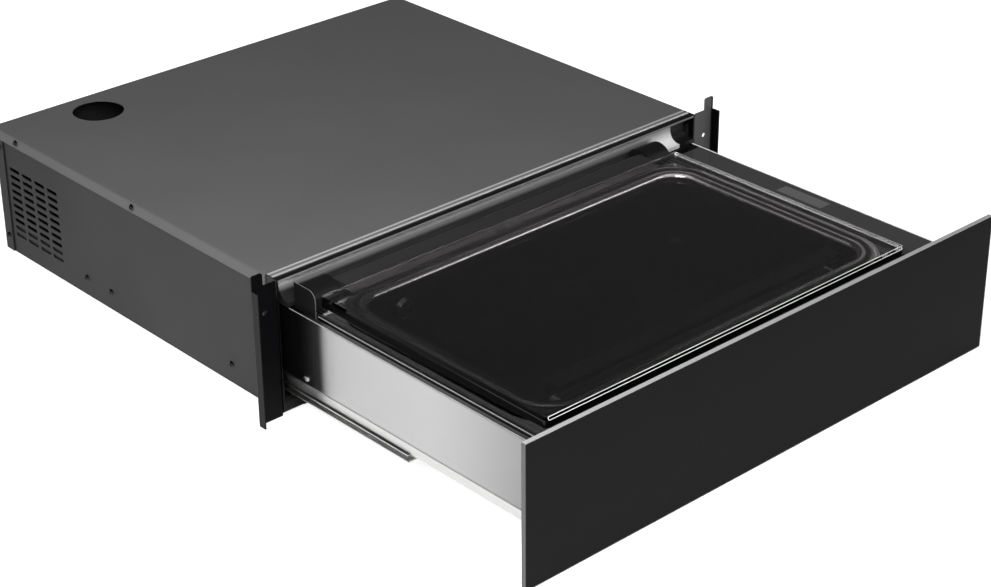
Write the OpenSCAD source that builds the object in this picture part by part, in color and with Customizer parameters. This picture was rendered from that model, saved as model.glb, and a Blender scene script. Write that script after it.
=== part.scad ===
// Vacuum sealing drawer for a 14 cm high kitchen niche, drawn out with its glass lid down.
// X runs to the right seen from the front, the drawer comes out towards -Y, Z is up.
// The origin is the middle of the standing plane below the open drawer's bounding box.

/* [Case] */
// Case side, in from the front panel's edge
case_in = 28; // [26:0.5:31]
// Depth of the case from its front edge to the rear cover
case_d = 470; // [466:1:520]
// Height of the case above its feet
case_h = 137; // [132:0.5:150]
// Thickness of the painted case sheet
sheet = 1.2; // [0.8:0.1:1.5]
// Thickness of the base pan
base_t = 1.5; // [1:0.1:2.5]
// Height of the base pan's front sill, which carries the runners
sill_h = 14; // [12:0.5:15]
// Depth of the sill's return lip
sill_lip = 8; // [5:0.5:12]
// Height of the base pan's rear upstand
rear_upstand = 20; // [10:1:22]
// Height of the top cover's side flange
cover_lap = 12; // [10:0.5:18]
// Depth of the rear cover's side flange
rear_wrap = 15; // [10:0.5:20]
// Width of the side panels' folded flanges
side_flange = 12; // [8:0.5:14]
// Height of the feet below the case
foot_h = 3; // [3:0.5:8]
// Radius of a foot
foot_r = 10; // [7:0.5:13]
// Radius of the stem that pushes a foot into the base pan
foot_stem_r = 3; // [2:0.5:4]

/* [Top outlet and side vents] */
// Diameter of the round outlet in the top cover
outlet_d = 53; // [30:1:70]
// Outlet centre, left of the middle
outlet_x = 170; // [60:1:200]
// Outlet centre, in front of the rear
outlet_back = 41; // [38:1:120]
// Vent columns in the left side
vent_cols = 4; // [1:1:8]
// Vent rows in the left side
vent_rows = 10; // [1:1:11]
// Length of one vent slot
slot_l = 18.5; // [10:0.5:20]
// Height of one vent slot
slot_h = 4; // [2:0.5:5]
// Column pitch of the vents
vent_pitch_y = 23; // [22:0.5:30]
// Row pitch of the vents
vent_pitch_z = 8.2; // [6:0.1:9]
// Rear end of the last vent column, in front of the rear
vent_back = 22; // [21:0.5:60]
// Centre height of the lowest vent row
vent_z = 22.5; // [16:0.5:30]

/* [Top front edge] */
// Depth of the ledge in front of the trim strip
ledge_d = 7.2; // [5:0.2:12]
// Width of the bright trim strip
trim_w = 9; // [6:0.2:14]
// Height that the trim strip stands proud of the cover
trim_proud = 0.3; // [0:0.1:1]
// Width of the groove along the trim strip
trim_groove = 3.6; // [2:0.2:4]
// Height of the crossbar's front lip
cross_lip = 2.8; // [2.2:0.1:3]
// Reach of the crossbar under the top cover
cross_reach = 14; // [8:1:25]

/* [Niche brackets] */
// Thickness of a bracket
bracket_t = 1.5; // [1:0.1:2]
// Forward fold at a bracket's outer edge
bracket_lip = 8.7; // [6:0.1:9]
// Width of the locating tab on top of a bracket
tab_w = 12; // [8:0.5:14]
// Height of the locating tab above the case
tab_h = 12.8; // [8:0.1:20]
// Locating tab, in from the bracket's outer edge
tab_in = 1; // [0.5:0.1:3]
// Depth of a bracket's flange along the case side
bracket_flange = 20; // [16:0.5:30]
// Height of that flange
bracket_side_h = 118; // [112:1:119]
// How far a bracket reaches below the case
bracket_drop = 1.5; // [0:0.1:2]
// Diameter of the niche screw hole
niche_hole_d = 5; // [3:0.1:7]
// Niche screw hole, in from the bracket's outer edge
niche_hole_in = 13.4; // [8:0.1:15]
// Niche screw hole, below the top of the case
niche_hole_down = 27.5; // [15:0.5:60]

/* [Front panel] */
// Width of the front panel
panel_w = 597; // [590:1:610]
// Height of the front panel
panel_h = 140; // [135:0.5:150]
// Thickness of the front panel
panel_t = 4; // [3:0.1:8]
// How far the panel reaches below the case
panel_drop = 2.6; // [0:0.1:2.8]
// Panel edge beyond the bracket, at each side
panel_over = 0.8; // [0.2:0.1:3]
// Wall of the bright edge frame round the glass
edge_t = 0.8; // [0.5:0.1:2]
// Thickness of the panel carrier
carrier_t = 1.2; // [0.8:0.1:2]
// Depth of the panel carrier's folded edges
carrier_fold = 8; // [5:0.5:8.5]
// Panel carrier's edge, in from the panel's edge
carrier_in = 8; // [5:0.5:12]
// Gap left between the closed panel and the bracket lips
panel_gap = 0.9; // [0.5:0.1:3]

/* [Drawer] */
// Travel of the drawer from closed to fully open
travel = 339; // [300:1:345]
// Room between a drawer wall and the case side
side_room = 6.3; // [6.2:0.1:7]
// Gap between the closed drawer's rear and the case's rear face
rear_room = 12.6; // [12:0.1:20]
// Top edge of the drawer walls, below the tray
wall_down = 1.2; // [0.8:0.1:3]
// Thickness of the stainless drawer sheet
wall_t = 1; // [0.8:0.1:1.2]
// Width of the hem along a drawer wall's top edge
hem_w = 6; // [4:0.5:6.2]
// Drop of the hem's turned down edge
hem_drop = 4; // [3:0.5:5]
// Thickness of the drawer floor
floor_t = 1.2; // [0.8:0.1:1.5]
// Height of the step from the floor up to the runners
floor_step = 10; // [8:0.5:10]

/* [Runners] */
// Thickness of the runner steel
rail_t = 1.2; // [1:0.1:1.4]
// Height of the fixed member
fixed_h = 18; // [17:0.5:20]
// Height of the middle member's flanged part
mid_h = 7.5; // [6:0.5:8]
// Width of the middle member
mid_w = 14; // [12:0.5:15]
// Height of the drawer member
inner_h = 10.2; // [9.8:0.1:13]
// Length of the fixed and drawer members
rail_l = 449.5; // [420:0.5:452]
// Length of the middle member
mid_l = 390; // [340:1:400]
// Gap between one runner member and the next
rail_gap = 0.3; // [0.3:0.1:0.5]
// Half the inner width of the guide that takes a member's rib
guide_half = 1.4; // [1.2:0.1:1.5]

/* [Lid] */
// Lid's left edge, in from the drawer wall
lid_left = 15.8; // [15:0.1:25]
// Lid's right edge, in from the drawer wall
lid_right = 53.3; // [50:0.1:60]
// Lid's front edge, behind the panel
lid_front = 27.1; // [20:0.1:40]
// Lid's rear edge, in front of the rear housing
lid_back = 38.5; // [38:0.1:42]
// Thickness of the glass lid
lid_t = 10; // [8:0.5:11]
// Corner radius of the glass
lid_corner = 4; // [3:0.5:8]
// Polished chamfer round the top of the glass
lid_chamfer = 1.2; // [0.5:0.1:2]
// Underside of the closed lid above the tray
lid_lift = 5; // [4.6:0.1:6]

/* [Tray and chamber] */
// Depth of the tray below the top of the case
tray_down = 27; // [26:0.5:30]
// Thickness of the tray sheet
tray_t = 1; // [0.8:0.1:1.5]
// Border of the tray outside the lid, left and right
tray_side = 8; // [6:0.5:8.5]
// Depth of the tray's folded edges
tray_fold = 11; // [8:0.5:14]
// Thickness of the pressed chamber
tub_t = 1.2; // [0.8:0.1:1.4]
// Height of the sealing rim above the tray
rim_h = 3; // [2.4:0.1:3.2]
// Foot of the sealing rim, in from the lid's edge
rim_in = 2.4; // [1:0.1:4]
// Chamber wall, in from the lid's edge
wall_in = 24; // [24:0.5:30]
// Lid's edge to the centre of the rim's corner curves
tub_corner = 48; // [45:1:60]
// Gap between the chamber and the drawer floor
tub_gap = 5.3; // [3:0.1:20]
// Radius between chamber wall and chamber floor
tub_fillet = 10; // [6:0.5:14]
// Radius of the rim where it rolls down into the chamber
rim_roll = 6; // [3:0.5:6.5]
// Width of the sealing gasket
seal_w = 5; // [3.5:0.5:5.5]
// Gasket, in from the lid's edge
seal_in = 10; // [9:0.5:10.5]
// Gap between the closed lid and the gasket
seal_gap = 0.3; // [0.2:0.1:0.5]
// Depth of the gasket's channel
seal_sink = 1.5; // [1.2:0.1:1.8]

/* [Sealing bar] */
// Length of the sealing bar
bar_l = 350; // [250:1:370]
// Width of the sealing bar
bar_w = 14; // [12:0.5:18]
// Height of the sealing bar
bar_h = 16; // [12:0.5:20]
// Lift of the sealing bar
bar_lift = 7; // [4:0.5:8]
// Sealing bar's centre, behind the chamber's front wall
bar_in = 20; // [16:0.5:30]
// Thickness of the heating band on the sealing bar
band_t = 0.4; // [0.2:0.1:1]
// Height of the counter bar under the lid
counter_h = 8; // [5:0.5:10]
// Height of the counter bar's silicone strip
strip_h = 1.5; // [1:0.5:3]
// Distance between the two lifting rods
rod_pitch = 240; // [150:1:300]
// Radius of a lifting rod
rod_r = 5; // [3.5:0.5:6]
// Radial running clearance of rods and hinge pins
run_fit = 0.05; // [0.02:0.01:0.1]

/* [Lid hinge] */
// Radius of the hinge bar's rounded rear edge
bar_r = 6.2; // [5.5:0.1:6.3]
// Hinge axis behind the lid's rear edge
hinge_back = 18; // [16:0.1:19]
// Hinge axis above the tray
hinge_up = 8.4; // [8:0.1:8.6]
// Hinge bar's end, in from the lid's side
hinge_in = 31.25; // [30.25:0.25:60]
// Depth of the strip that the glass is bonded to
bond_d = 8.5; // [5:0.5:9]
// Radius of a hinge pin
pin_r = 3; // [2:0.1:3.5]
// Depth of the hinge pin in the bar
pin_in = 14; // [8:0.5:20]
// Gap between the hinge bar and a hinge cap
cap_gap = 3; // [1:0.1:4]
// Width of one hinge cap
cap_w = 28.25; // [20:0.25:28.5]
// Height of a hinge cap above the tray
cap_h = 17.5; // [16:0.1:18.5]
// Radius of a hinge cap's domed top
cap_r = 18.6; // [17.5:0.1:30]
// Wall of a hinge cap
cap_t = 2; // [1.2:0.1:3]

/* [Controls] */
// Gap between the lid and the control strip
strip_gap = 9.5; // [8.8:0.1:12]
// Control strip's outer edge, in from the drawer wall
strip_in = 4.3; // [2:0.1:6]
// Control strip's rear end, behind the lid's rear edge
strip_back = 11.5; // [5:0.5:15]
// Thickness of the control glass
strip_t = 1.5; // [1:0.1:2]
// Length of the display window
display_l = 57; // [30:0.5:80]
// Width of the display window
display_w = 15; // [8:0.5:18]
// Display window's front end, behind the panel
display_front = 150.6; // [60:0.2:220]
// Display window, in from the drawer wall
display_in = 10.3; // [9:0.1:14]

/* [Rear housing] */
// Gap between the stainless rear housing and the top of the case
hood_gap = 4; // [3.6:0.1:6]
// Depth of the rear compartment
comp_d = 110.4; // [108:0.2:125]
// Height of the housing's foot above the tray
hood_foot = 4; // [2:0.5:6]
// Radius of the housing's sweep up from its foot
hood_r = 11.5; // [6:0.5:12]
// Housing's right end, in from the drawer wall
hood_in = 19.8; // [14:0.2:30]
// Length of the guard plate beside the lid's rear corner
guard_l = 30; // [15:0.5:34]
// Corner radius of the guard plate
guard_r = 9; // [3:0.5:12]

/* [Vacuum pump] */
// Motor's radius, short of half the pump head's side
motor_in = 2; // [1:0.5:8]
// Length of the pump motor
motor_l = 112; // [80:1:120]
// Gap between the pump head and the rear housing's top
pump_room = 12.8; // [4:0.2:20]
// Length of the pump head
pump_l = 84; // [60:1:88]
// Number of cooling fins on the pump head
pump_fins = 9; // [5:1:12]
// Height of the pump's rubber mounts
mount_h = 8; // [5:0.5:10]
// Outer diameter of the vacuum hose
hose_d = 12; // [10:0.5:13]
// Bend radius of the vacuum hose
hose_bend = 24; // [18:1:26]
// Suction fitting's centre, below the tray
port_down = 22.3; // [20:0.1:40]
// Radius of the motor's shaft
shaft_r = 4; // [3:0.5:6]
// Fan wheel's rim, in from the motor's skin
fan_gap = 6; // [5:0.5:15]
// Number of blades on the fan wheel
fan_blades = 8; // [5:1:12]

/* [Screws] */
// Radius of a screw's head
head_r = 3.4; // [2.6:0.1:3.6]
// Height of a screw's head
head_h = 2; // [1.2:0.1:2.4]
// Radius of a screw's shank
shank_r = 1.6; // [1.2:0.1:2]
// Radial clearance round a shank
shank_gap = 0.1; // [0.05:0.05:0.3]
// Runner screws along the case side, behind its front edge
rail_screw_y = [78.1, 276.2, 318.6]; // [20:0.1:440]
// First cover screw along the case side, behind its front edge
cover_screw_y = 223.7; // [40:0.1:380]

/* [Push latch] */
// Width of the push latch under the drawer
latch_w = 36; // [24:1:60]
// Length of the push latch
latch_l = 50; // [42:1:70]
// Front of the push latch, behind the case's front edge
latch_y = 12; // [10:0.5:20]
// Travel of the latch's plunger
latch_travel = 4; // [2:0.5:6]
// Radius of the latch's plunger
plunger_r = 4.5; // [3:0.5:5]

/* [Hidden] */

$fn = 48;
bend_n = 5;
clear = 0.3;

// Case, from the middle out
case_w = panel_w - 2 * case_in;
case_x = case_w / 2;
side_out = case_x - sheet;
side_in = side_out - sheet;
rear_y = case_d - sheet;
cover_z = case_h - sheet;
cover_y = ledge_d + trim_w;
shelf_y = cover_y + cross_reach;
bracket_x = panel_w / 2 - panel_over;

// Drawer, at rest fully open
wall_x = side_in - side_room;
panel_back = -(travel + bracket_lip + panel_gap);
panel_front = panel_back - panel_t;
carrier_y = panel_back + carrier_t;
drawer_end = case_d - rear_room - travel;
back_y = drawer_end - wall_t;

// The open drawer and the case together are centred on the origin
front_y = -(case_d + panel_front) / 2;

// Runner levels and places, from the fixed member up to the drawer member
rail_z = sill_h;
fixed_top = rail_z + fixed_h;
mid_z = rail_z + 8;
mid_top = mid_z + mid_h;
inner_z = mid_top + rail_gap;
inner_top = inner_z + inner_h;
rail_x = side_in - 11.1;
mid_front = 1 - travel / 2;
inner_front = panel_back + 13.6;
floor_x = rail_x - 12.4;
floor_z = inner_top - floor_step;
floor_top = floor_z + floor_t;

// Tray, lid and chamber
tray_z = case_h - tray_down;
wall_top = tray_z - wall_down;
hood_y = drawer_end - comp_d;
lid_x0 = lid_left - wall_x;
lid_x1 = wall_x - lid_right;
lid_y0 = panel_back + lid_front;
lid_y1 = hood_y - lid_back;
lid_w = lid_x1 - lid_x0;
lid_d = lid_y1 - lid_y0;
lid_x = (lid_x0 + lid_x1) / 2;
lid_y = (lid_y0 + lid_y1) / 2;
lid_z = tray_z + lid_lift;
rim_z = tray_z + rim_h;
wall_r = tub_corner - wall_in;
seal_r1 = tub_corner - seal_in;
seal_r0 = seal_r1 - seal_w;
seal_floor = rim_z - seal_sink;
seal_top = lid_z - seal_gap;
chamber_z = floor_top + tub_gap + tub_t;
tray_x0 = lid_x0 - tray_side;
tray_x1 = lid_x1 + tray_side;
tray_y0 = panel_back + 2;
support_z = tray_z - tray_fold;

// Lid hinge
hinge_y = lid_y1 + hinge_back;
hinge_z = tray_z + hinge_up;
hinge_half = lid_w / 2 - hinge_in;
cap_x = hinge_half + cap_gap;
cap_y0 = hinge_y - 12.5;
cap_y1 = hood_y - clear;
block_l = cap_w - cap_t - 2;

// Rear housing
hood_top = case_h - hood_gap;
foot_y = hinge_y + bar_r + 0.5;
foot_z = tray_z + hood_foot;
tray_y1 = foot_y + 4;
hood_x1 = wall_x - hood_in;

// Control strip
strip_x0 = lid_x1 + strip_gap;
strip_x1 = wall_x - strip_in;
strip_y1 = lid_y1 + strip_back;
strip_z = tray_z - 1;
housing_x1 = wall_x - hem_w - 0.4;
display_x1 = wall_x - display_in;
display_y0 = panel_back + display_front;

// Sealing bar, from the closed lid down
bar_y = lid_y0 + wall_in + bar_in;
counter_z = lid_z - counter_h;
band_top = counter_z - strip_h - clear - bar_lift;
bar_z = band_top - band_t - bar_h;
sleeve_top = bar_z - 6;

// Pump
pump_y = hood_y + 57;
mount_top = floor_top + mount_h;
pump_z = mount_top + 2;
pump_s = hood_top - wall_t - pump_room - pump_z;
motor_r = pump_s / 2 - motor_in;
fan_r = motor_r - fan_gap;
motor_z = pump_z + pump_s / 2;
motor_x = 10;
port_x = lid_x - 150;
port_z = tray_z - port_down;
valve_x = port_x + hose_bend + 18;
valve_l = 36;
hose_y = hood_y + 56;

// Screw positions on a case side, as [y, z]
cover_screws = [for (y = [cover_screw_y, case_d - outlet_back - 1]) [y, case_h - cover_lap / 2]];
rail_screws = [for (y = rail_screw_y) [y, rail_z + 5.6]];
rear_screws = [for (z = [case_h - cover_lap - 9.5, 16]) [case_d - rear_wrap / 2, z]];
bracket_screws = [for (z = [45, 100]) [bracket_flange / 2 + 1, z]];
// Screw positions on a drawer wall, as [y, z]
wall_screws = [for (y = [lid_y1 + 3.3, drawer_end - 40]) [y, inner_top + 6]];
panel_screws = [for (down = [37, 9]) [wall_x - 9, support_z - down]];

function unit(v) = v / norm(v);
function turned(v) = [-v[1], v[0]];

// Points of one bend of radius r at corner b between a and c
function bend(a, b, c, r) =
    let (u = unit(a - b), w = unit(c - b), half = acos(u * w) / 2)
    let (middle = b + unit(u + w) * (r / sin(half)), run = r / tan(half))
    let (s = b + u * run - middle, e = b + w * run - middle)
    let (a0 = atan2(s[1], s[0]), a1 = atan2(e[1], e[0]), span = a1 - a0)
    let (sweep = span > 180 ? span - 360 : span < -180 ? span + 360 : span)
    let (n = max(bend_n, round(r)))
    [for (i = [0:n]) middle + r * [cos(a0 + sweep * i / n), sin(a0 + sweep * i / n)]];

// A path with each inner corner rounded to its own radius
function folded(path, radii) =
    let (last = len(path) - 1)
    concat([path[0]],
        [for (i = [1:last - 1])
            for (p = bend(path[i - 1], path[i], path[i + 1], radii[i - 1])) p],
        [path[last]]);

// Direction of the line at point i
function heading(line, i) =
    i == 0 ? unit(line[1] - line[0]) :
    i == len(line) - 1 ? unit(line[i] - line[i - 1]) :
    unit(unit(line[i] - line[i - 1]) + unit(line[i + 1] - line[i]));

// The line moved sideways by off, mitred at each point
function beside(line, off) = [
    for (i = [0:len(line) - 1])
        let (h = heading(line, i), back = i == 0 ? h : unit(line[i] - line[i - 1]))
        line[i] + turned(h) * (off / (h * back))
];

// Section of a folded sheet of thickness t, along the middle of the sheet
module sheet_2d(path, r, t) {
    radii = is_list(r) ? r : [for (i = [2:len(path) - 1]) r];
    line = folded(path, radii);
    back = beside(line, -t / 2);
    polygon(concat(beside(line, t / 2), [for (i = [len(back) - 1:-1:0]) back[i]]));
}

module rounded_rect(w, d, r) {
    square([w - 2 * r, d], center = true);
    square([w, d - 2 * r], center = true);
    for (sx = [-1, 1], sy = [-1, 1]) translate([sx * (w / 2 - r), sy * (d / 2 - r)]) circle(r);
}

// A slot with round ends, length l and height h
module slot_2d(l, h) {
    square([l - h, h], center = true);
    for (s = [-1, 1]) translate([s * (l - h) / 2, 0]) circle(h / 2, $fn = 24);
}

// Lays the drawing, whose y 0 and z 0 are the case's front edge and underside
module placed() {
    translate([0, front_y, foot_h]) children();
}

// Extrudes a YZ outline from x0 to x1
module along_x(x0, x1) {
    translate([x0, 0, 0]) rotate([90, 0, 90]) linear_extrude(x1 - x0) children();
}

// Extrudes an XZ outline from y0 to y1
module along_y(y0, y1) {
    translate([0, y1, 0]) rotate([90, 0, 0]) linear_extrude(y1 - y0) children();
}

// Extrudes an XY outline from z0 to z1
module along_z(z0, z1) {
    translate([0, 0, z0]) linear_extrude(z1 - z0) children();
}

// A box between two corners
module box(a, b) {
    translate(a) cube(b - a);
}

module rod_x(x0, x1, y, z, r) {
    translate([x0, y, z]) rotate([0, 90, 0]) cylinder(h = x1 - x0, r = r);
}

module rod_y(y0, y1, x, z, r) {
    translate([x, y0, z]) rotate([-90, 0, 0]) cylinder(h = y1 - y0, r = r);
}

module both_sides() {
    children();
    mirror([1, 0, 0]) children();
}

// Both ends of the lid, whose middle is left of the product's middle
module both_ends() {
    translate([lid_x, 0, 0]) both_sides() children();
}

// Sweeps an outline of [distance from the corner centre, z] round a rectangle w by d,
// whose corner centres lie rc inside it
module round_sweep(w, d, rc) {
    cx = w / 2 - rc;
    cy = d / 2 - rc;
    corners = [[cx, cy], [-cx, cy], [-cx, -cy], [cx, -cy]];
    for (k = [0:3]) translate(corners[k]) {
        rotate(k * 90) rotate_extrude(angle = 90) children();
        rotate(k * 90 + 90) along_y(0, k % 2 == 0 ? 2 * cx : 2 * cy) children();
    }
}

// Pan head screw along +X: the head's underside is at x 0, the shank runs inwards
module screw(shank) {
    head = [[0, 0], [head_r * 0.5, 0], [head_r * 0.85, head_h * 0.3],
        [head_r, head_h * 0.7], [head_r, head_h], [0, head_h]];
    rotate([0, 90, 0]) {
        translate([0, 0, -head_h]) rotate_extrude() polygon(head);
        cylinder(h = shank, r = shank_r, $fn = 24);
    }
}

// Screws through a right hand wall whose outer face is at x, at each [y, z]
module wall_row(x, places, shank) {
    for (p = places) translate([x, p[0], p[1]]) rotate(180) screw(shank);
}

// Clearance holes for such screws, as tools along X
module drill_row(x0, x1, places) {
    for (p = places) rod_x(x0, x1, p[0], p[1], shank_r + shank_gap, $fn = 24);
}

// ---- Case ----

foot_places = [for (x = [-1, 1], y = [foot_r + 4, case_d - 30]) [x * (side_out - 30), y]];

module base_pan() {
    path = [[sill_lip, sill_h - base_t / 2], [base_t / 2, sill_h - base_t / 2],
        [base_t / 2, base_t / 2], [rear_y - base_t / 2, base_t / 2],
        [rear_y - base_t / 2, rear_upstand]];
    color("dimgray") placed() difference() {
        along_x(-side_out, side_out) sheet_2d(path, base_t + 0.5, base_t);
        both_sides() box([side_in - 0.1, -1, base_t], [side_out + 1, case_d, sill_h + rear_upstand]);
        for (p = foot_places) translate([p[0], p[1], -1]) cylinder(h = base_t + 2, r = foot_stem_r + 0.1);
    }
}

module feet() {
    outline = [[0, -foot_h], [foot_r - 1, -foot_h], [foot_r, 1 - foot_h], [foot_r, 0],
        [foot_stem_r, 0], [foot_stem_r, base_t], [foot_stem_r + 1.5, base_t],
        [foot_stem_r + 0.6, base_t + 2.5], [0, base_t + 2.5]];
    color([0.08, 0.08, 0.08]) placed()
        for (p = foot_places) translate(p) rotate_extrude() polygon(outline);
}

// Right hand side panel; its web is cut to the step of the top cover
module side_panel(vents) {
    web_x = side_out - sheet / 2;
    tip_x = side_in - side_flange;
    low = base_t + sheet / 2;
    high = cover_z - sheet / 2;
    back = rear_y - sheet;
    top = cover_z - 1.5 * sheet;
    outline = [[0, base_t], [back, base_t], [back, top], [cover_y, top], [cover_y, case_h], [0, case_h]];
    difference() {
        union() {
            along_x(side_in, side_out) difference() {
                polygon(outline);
                if (vents) for (i = [0:vent_cols - 1], j = [0:vent_rows - 1])
                    translate([case_d - vent_back - slot_l / 2 - i * vent_pitch_y, vent_z + j * vent_pitch_z])
                        slot_2d(slot_l, slot_h);
            }
            along_y(sill_lip + 1, rear_y - base_t - 1)
                sheet_2d([[tip_x, low], [web_x, low], [web_x, low + 4]], sheet, sheet);
            along_y(shelf_y + 1, back)
                sheet_2d([[tip_x, high], [web_x, high], [web_x, high - 4]], sheet, sheet);
        }
        drill_row(side_in - 1, side_out + 1, concat(cover_screws, rail_screws, rear_screws, bracket_screws));
    }
}

module left_side() {
    color("dimgray") placed() mirror([1, 0, 0]) side_panel(true);
}

module right_side() {
    color("dimgray") placed() side_panel(false);
}

module top_cover() {
    x = case_x - sheet / 2;
    z = case_h - sheet / 2;
    path = [[-x, case_h - cover_lap], [-x, z], [x, z], [x, case_h - cover_lap]];
    color("gray") placed() difference() {
        along_y(cover_y, rear_y) sheet_2d(path, sheet, sheet);
        drill_row(-case_w, case_w, cover_screws);
        translate([-outlet_x, case_d - outlet_back, cover_z - 1]) cylinder(h = sheet + 2, r = outlet_d / 2);
    }
}

// Folded bar across the front, stepped down to carry the trim strip and the cover
module front_crossbar() {
    t = sheet;
    high = case_h - t / 2;
    low = cover_z - t / 2;
    path = [[t / 2, case_h - cross_lip], [t / 2, high], [ledge_d - 2.2, high],
        [ledge_d - 1, low], [shelf_y, low]];
    color([0.12, 0.12, 0.12]) placed() {
        along_x(-side_in, side_in) sheet_2d(path, [0.9, 0.7, 0.7], t);
        both_sides() box([side_in - t, ledge_d + 1, low - 9], [side_in, shelf_y - 1, low]);
    }
}

module trim_strip() {
    top = case_h + trim_proud;
    groove = trim_groove / 2;
    mid = ledge_d + trim_w / 2;
    outline = [[ledge_d + 0.1, cover_z], [cover_y - 0.1, cover_z], [cover_y - 0.1, top - 0.4],
        [cover_y - 0.5, top], [mid + groove + 0.3, top], [mid + groove, top - 0.8],
        [mid - groove, top - 0.8], [mid - groove - 0.3, top], [ledge_d + 0.5, top],
        [ledge_d + 0.1, top - 0.4]];
    color("silver") placed() along_x(-side_in, side_in) polygon(outline);
}

gland_x = 215;
gland_z = rear_upstand + 16;
gland_r = 9;

// Rear plate with air slots; its lower side edges wrap round the side panels
module rear_cover() {
    x = case_x - sheet / 2;
    path = [[-x, case_d - rear_wrap], [-x, case_d - sheet / 2], [x, case_d - sheet / 2], [x, case_d - rear_wrap]];
    top = case_h - cover_lap - 0.3;
    color("dimgray") placed() difference() {
        union() {
            along_z(0, top) sheet_2d(path, sheet, sheet);
            box([1 - case_x, rear_y, 0], [case_x - 1, case_d, case_h]);
        }
        drill_row(-case_w, case_w, rear_screws);
        along_y(rear_y - 1, case_d + 1) {
            for (i = [0:4], j = [-3:3])
                translate([(i - 2) * 62 - 30, case_h / 2 + 1.5 + j * 10]) slot_2d(48, 4);
            translate([gland_x, gland_z]) circle(gland_r - 1.5);
        }
    }
}

// Strain relief bush seated behind the rear cover
module cable_gland() {
    color([0.06, 0.06, 0.06]) placed() translate([gland_x, case_d, gland_z]) rotate([90, 0, 0])
        rotate_extrude() polygon([[3.6, 0], [gland_r - 1.6, 0], [gland_r - 1.6, sheet], [gland_r, sheet],
            [gland_r, sheet + 4], [gland_r - 2, sheet + 8], [3.6, sheet + 8]]);
}

// Right hand bracket, folded from one strip: case flange, face plate and forward lip
module bracket() {
    t = bracket_t;
    inner = side_out + t / 2;
    outer = bracket_x - t / 2;
    path = [[inner, bracket_flange], [inner, t / 2], [outer, t / 2], [outer, -bracket_lip]];
    tab_x = bracket_x - tab_in - tab_w / 2;
    difference() {
        union() {
            along_z(-bracket_drop, case_h - 1.5) sheet_2d(path, t + 0.3, t);
            along_y(0, t) {
                translate([side_out + 1.5, 0]) square([bracket_x - side_out - 4, case_h]);
                translate([tab_x, case_h + tab_h - 3]) rounded_rect(tab_w, 6, 2);
                translate([tab_x - tab_w / 2, case_h - 10]) square([tab_w, tab_h + 7]);
            }
        }
        box([0, t + 0.01, bracket_side_h], [bracket_x - 4, case_d, case_h + tab_h]);
        box([0, t + 0.01, -bracket_drop - 1], [bracket_x - 4, case_d, 0]);
        drill_row(0, bracket_x - 4, bracket_screws);
        rod_y(-1, t + 1, bracket_x - niche_hole_in, case_h - niche_hole_down, niche_hole_d / 2);
    }
}

module left_bracket() {
    color([0.12, 0.12, 0.12]) placed() mirror([1, 0, 0]) bracket();
}

module right_bracket() {
    color([0.12, 0.12, 0.12]) placed() bracket();
}

module case_screws() {
    color([0.15, 0.15, 0.15]) placed() both_sides() {
        wall_row(case_x, cover_screws, 2 * sheet + 1);
        wall_row(side_out, rail_screws, sheet + rail_t + 1);
        wall_row(case_x, rear_screws, 2 * sheet + 1);
        wall_row(side_out + bracket_t, bracket_screws, bracket_t + sheet + 1);
    }
}

latch_z = sill_h + plunger_r + 2.5;
latch_end = latch_y + 28;

// Case of the push latch that opens the handleless drawer, on the base pan behind its sill
module push_latch() {
    half = latch_w / 2;
    color([0.75, 0.75, 0.73]) placed() difference() {
        union() {
            box([-half, latch_y, base_t], [half, latch_y + latch_l, base_t + 3]);
            box([6 - half, latch_y, base_t], [half - 6, latch_y + latch_l, latch_z + plunger_r + 1]);
        }
        rod_y(latch_y - 1, latch_end + latch_travel + 1, 0, latch_z, plunger_r + run_fit);
        for (s = [-1, 1], y = [8, latch_l - 8]) translate([s * (half - 3), latch_y + y, base_t - 1])
            cylinder(h = 5, r = shank_r, $fn = 24);
    }
}

// Plunger whose soft tip meets the closed panel's carrier
module latch_plunger() {
    tip = carrier_y + travel + clear;
    color([0.55, 0.55, 0.54]) placed() {
        rod_y(tip + 2, latch_end, 0, latch_z, plunger_r);
        translate([0, tip, latch_z]) rotate([-90, 0, 0]) rotate_extrude()
            polygon([[0, 0], [plunger_r, 0], [plunger_r + 1, 1], [plunger_r + 1, 3], [0, 3]]);
    }
}

// ---- Runners, right hand members ----

// Guide for a rib at rail_x, open towards dir, with its closed side at z
module guide_2d(z, dir, depth) {
    g = guide_half + rail_t / 2;
    z1 = z + dir * rail_t / 2;
    sheet_2d([[rail_x - g, z + dir * depth], [rail_x - g, z1], [rail_x + g, z1], [rail_x + g, z + dir * depth]],
        rail_t / 2 + 0.2, rail_t);
}

module fixed_rail() {
    x = side_in - rail_t / 2;
    path = [[wall_x + 0.8, fixed_top - rail_t / 2], [x, fixed_top - rail_t / 2],
        [x, rail_z + rail_t / 2], [rail_x - 9, rail_z + rail_t / 2]];
    difference() {
        along_y(0.5, 0.5 + rail_l) {
            sheet_2d(path, rail_t, rail_t);
            guide_2d(rail_z + rail_t, 1, 5.3);
        }
        drill_row(side_in - 5, side_in + 1, rail_screws);
    }
}

module middle_rail() {
    half = mid_w / 2;
    difference() {
        along_y(mid_front, mid_front + mid_l) {
            for (z = [mid_z, mid_top - rail_t])
                translate([rail_x - half, z]) square([mid_w, rail_t]);
            for (s = [-1, 1], z = [mid_z, mid_top - rail_t])
                translate([rail_x + s * (half - 0.7), z + rail_t / 2]) circle(0.85, $fn = 24);
            translate([rail_x - rail_t / 2, rail_z + rail_t + 1.9])
                square([rail_t, inner_top - 4 - rail_z - rail_t - 1.9]);
        }
        translate([0, mid_front, mid_z - 1]) rotate([45, 0, 0]) translate([0, -20, -10]) cube([side_in, 20, 30]);
        box([0, mid_front - 1, mid_top + 0.2], [side_in, mid_front + 12, inner_top]);
        box([0, mid_front - 1, 0], [side_in, mid_front + 12, mid_z - 0.2]);
    }
}

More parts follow.
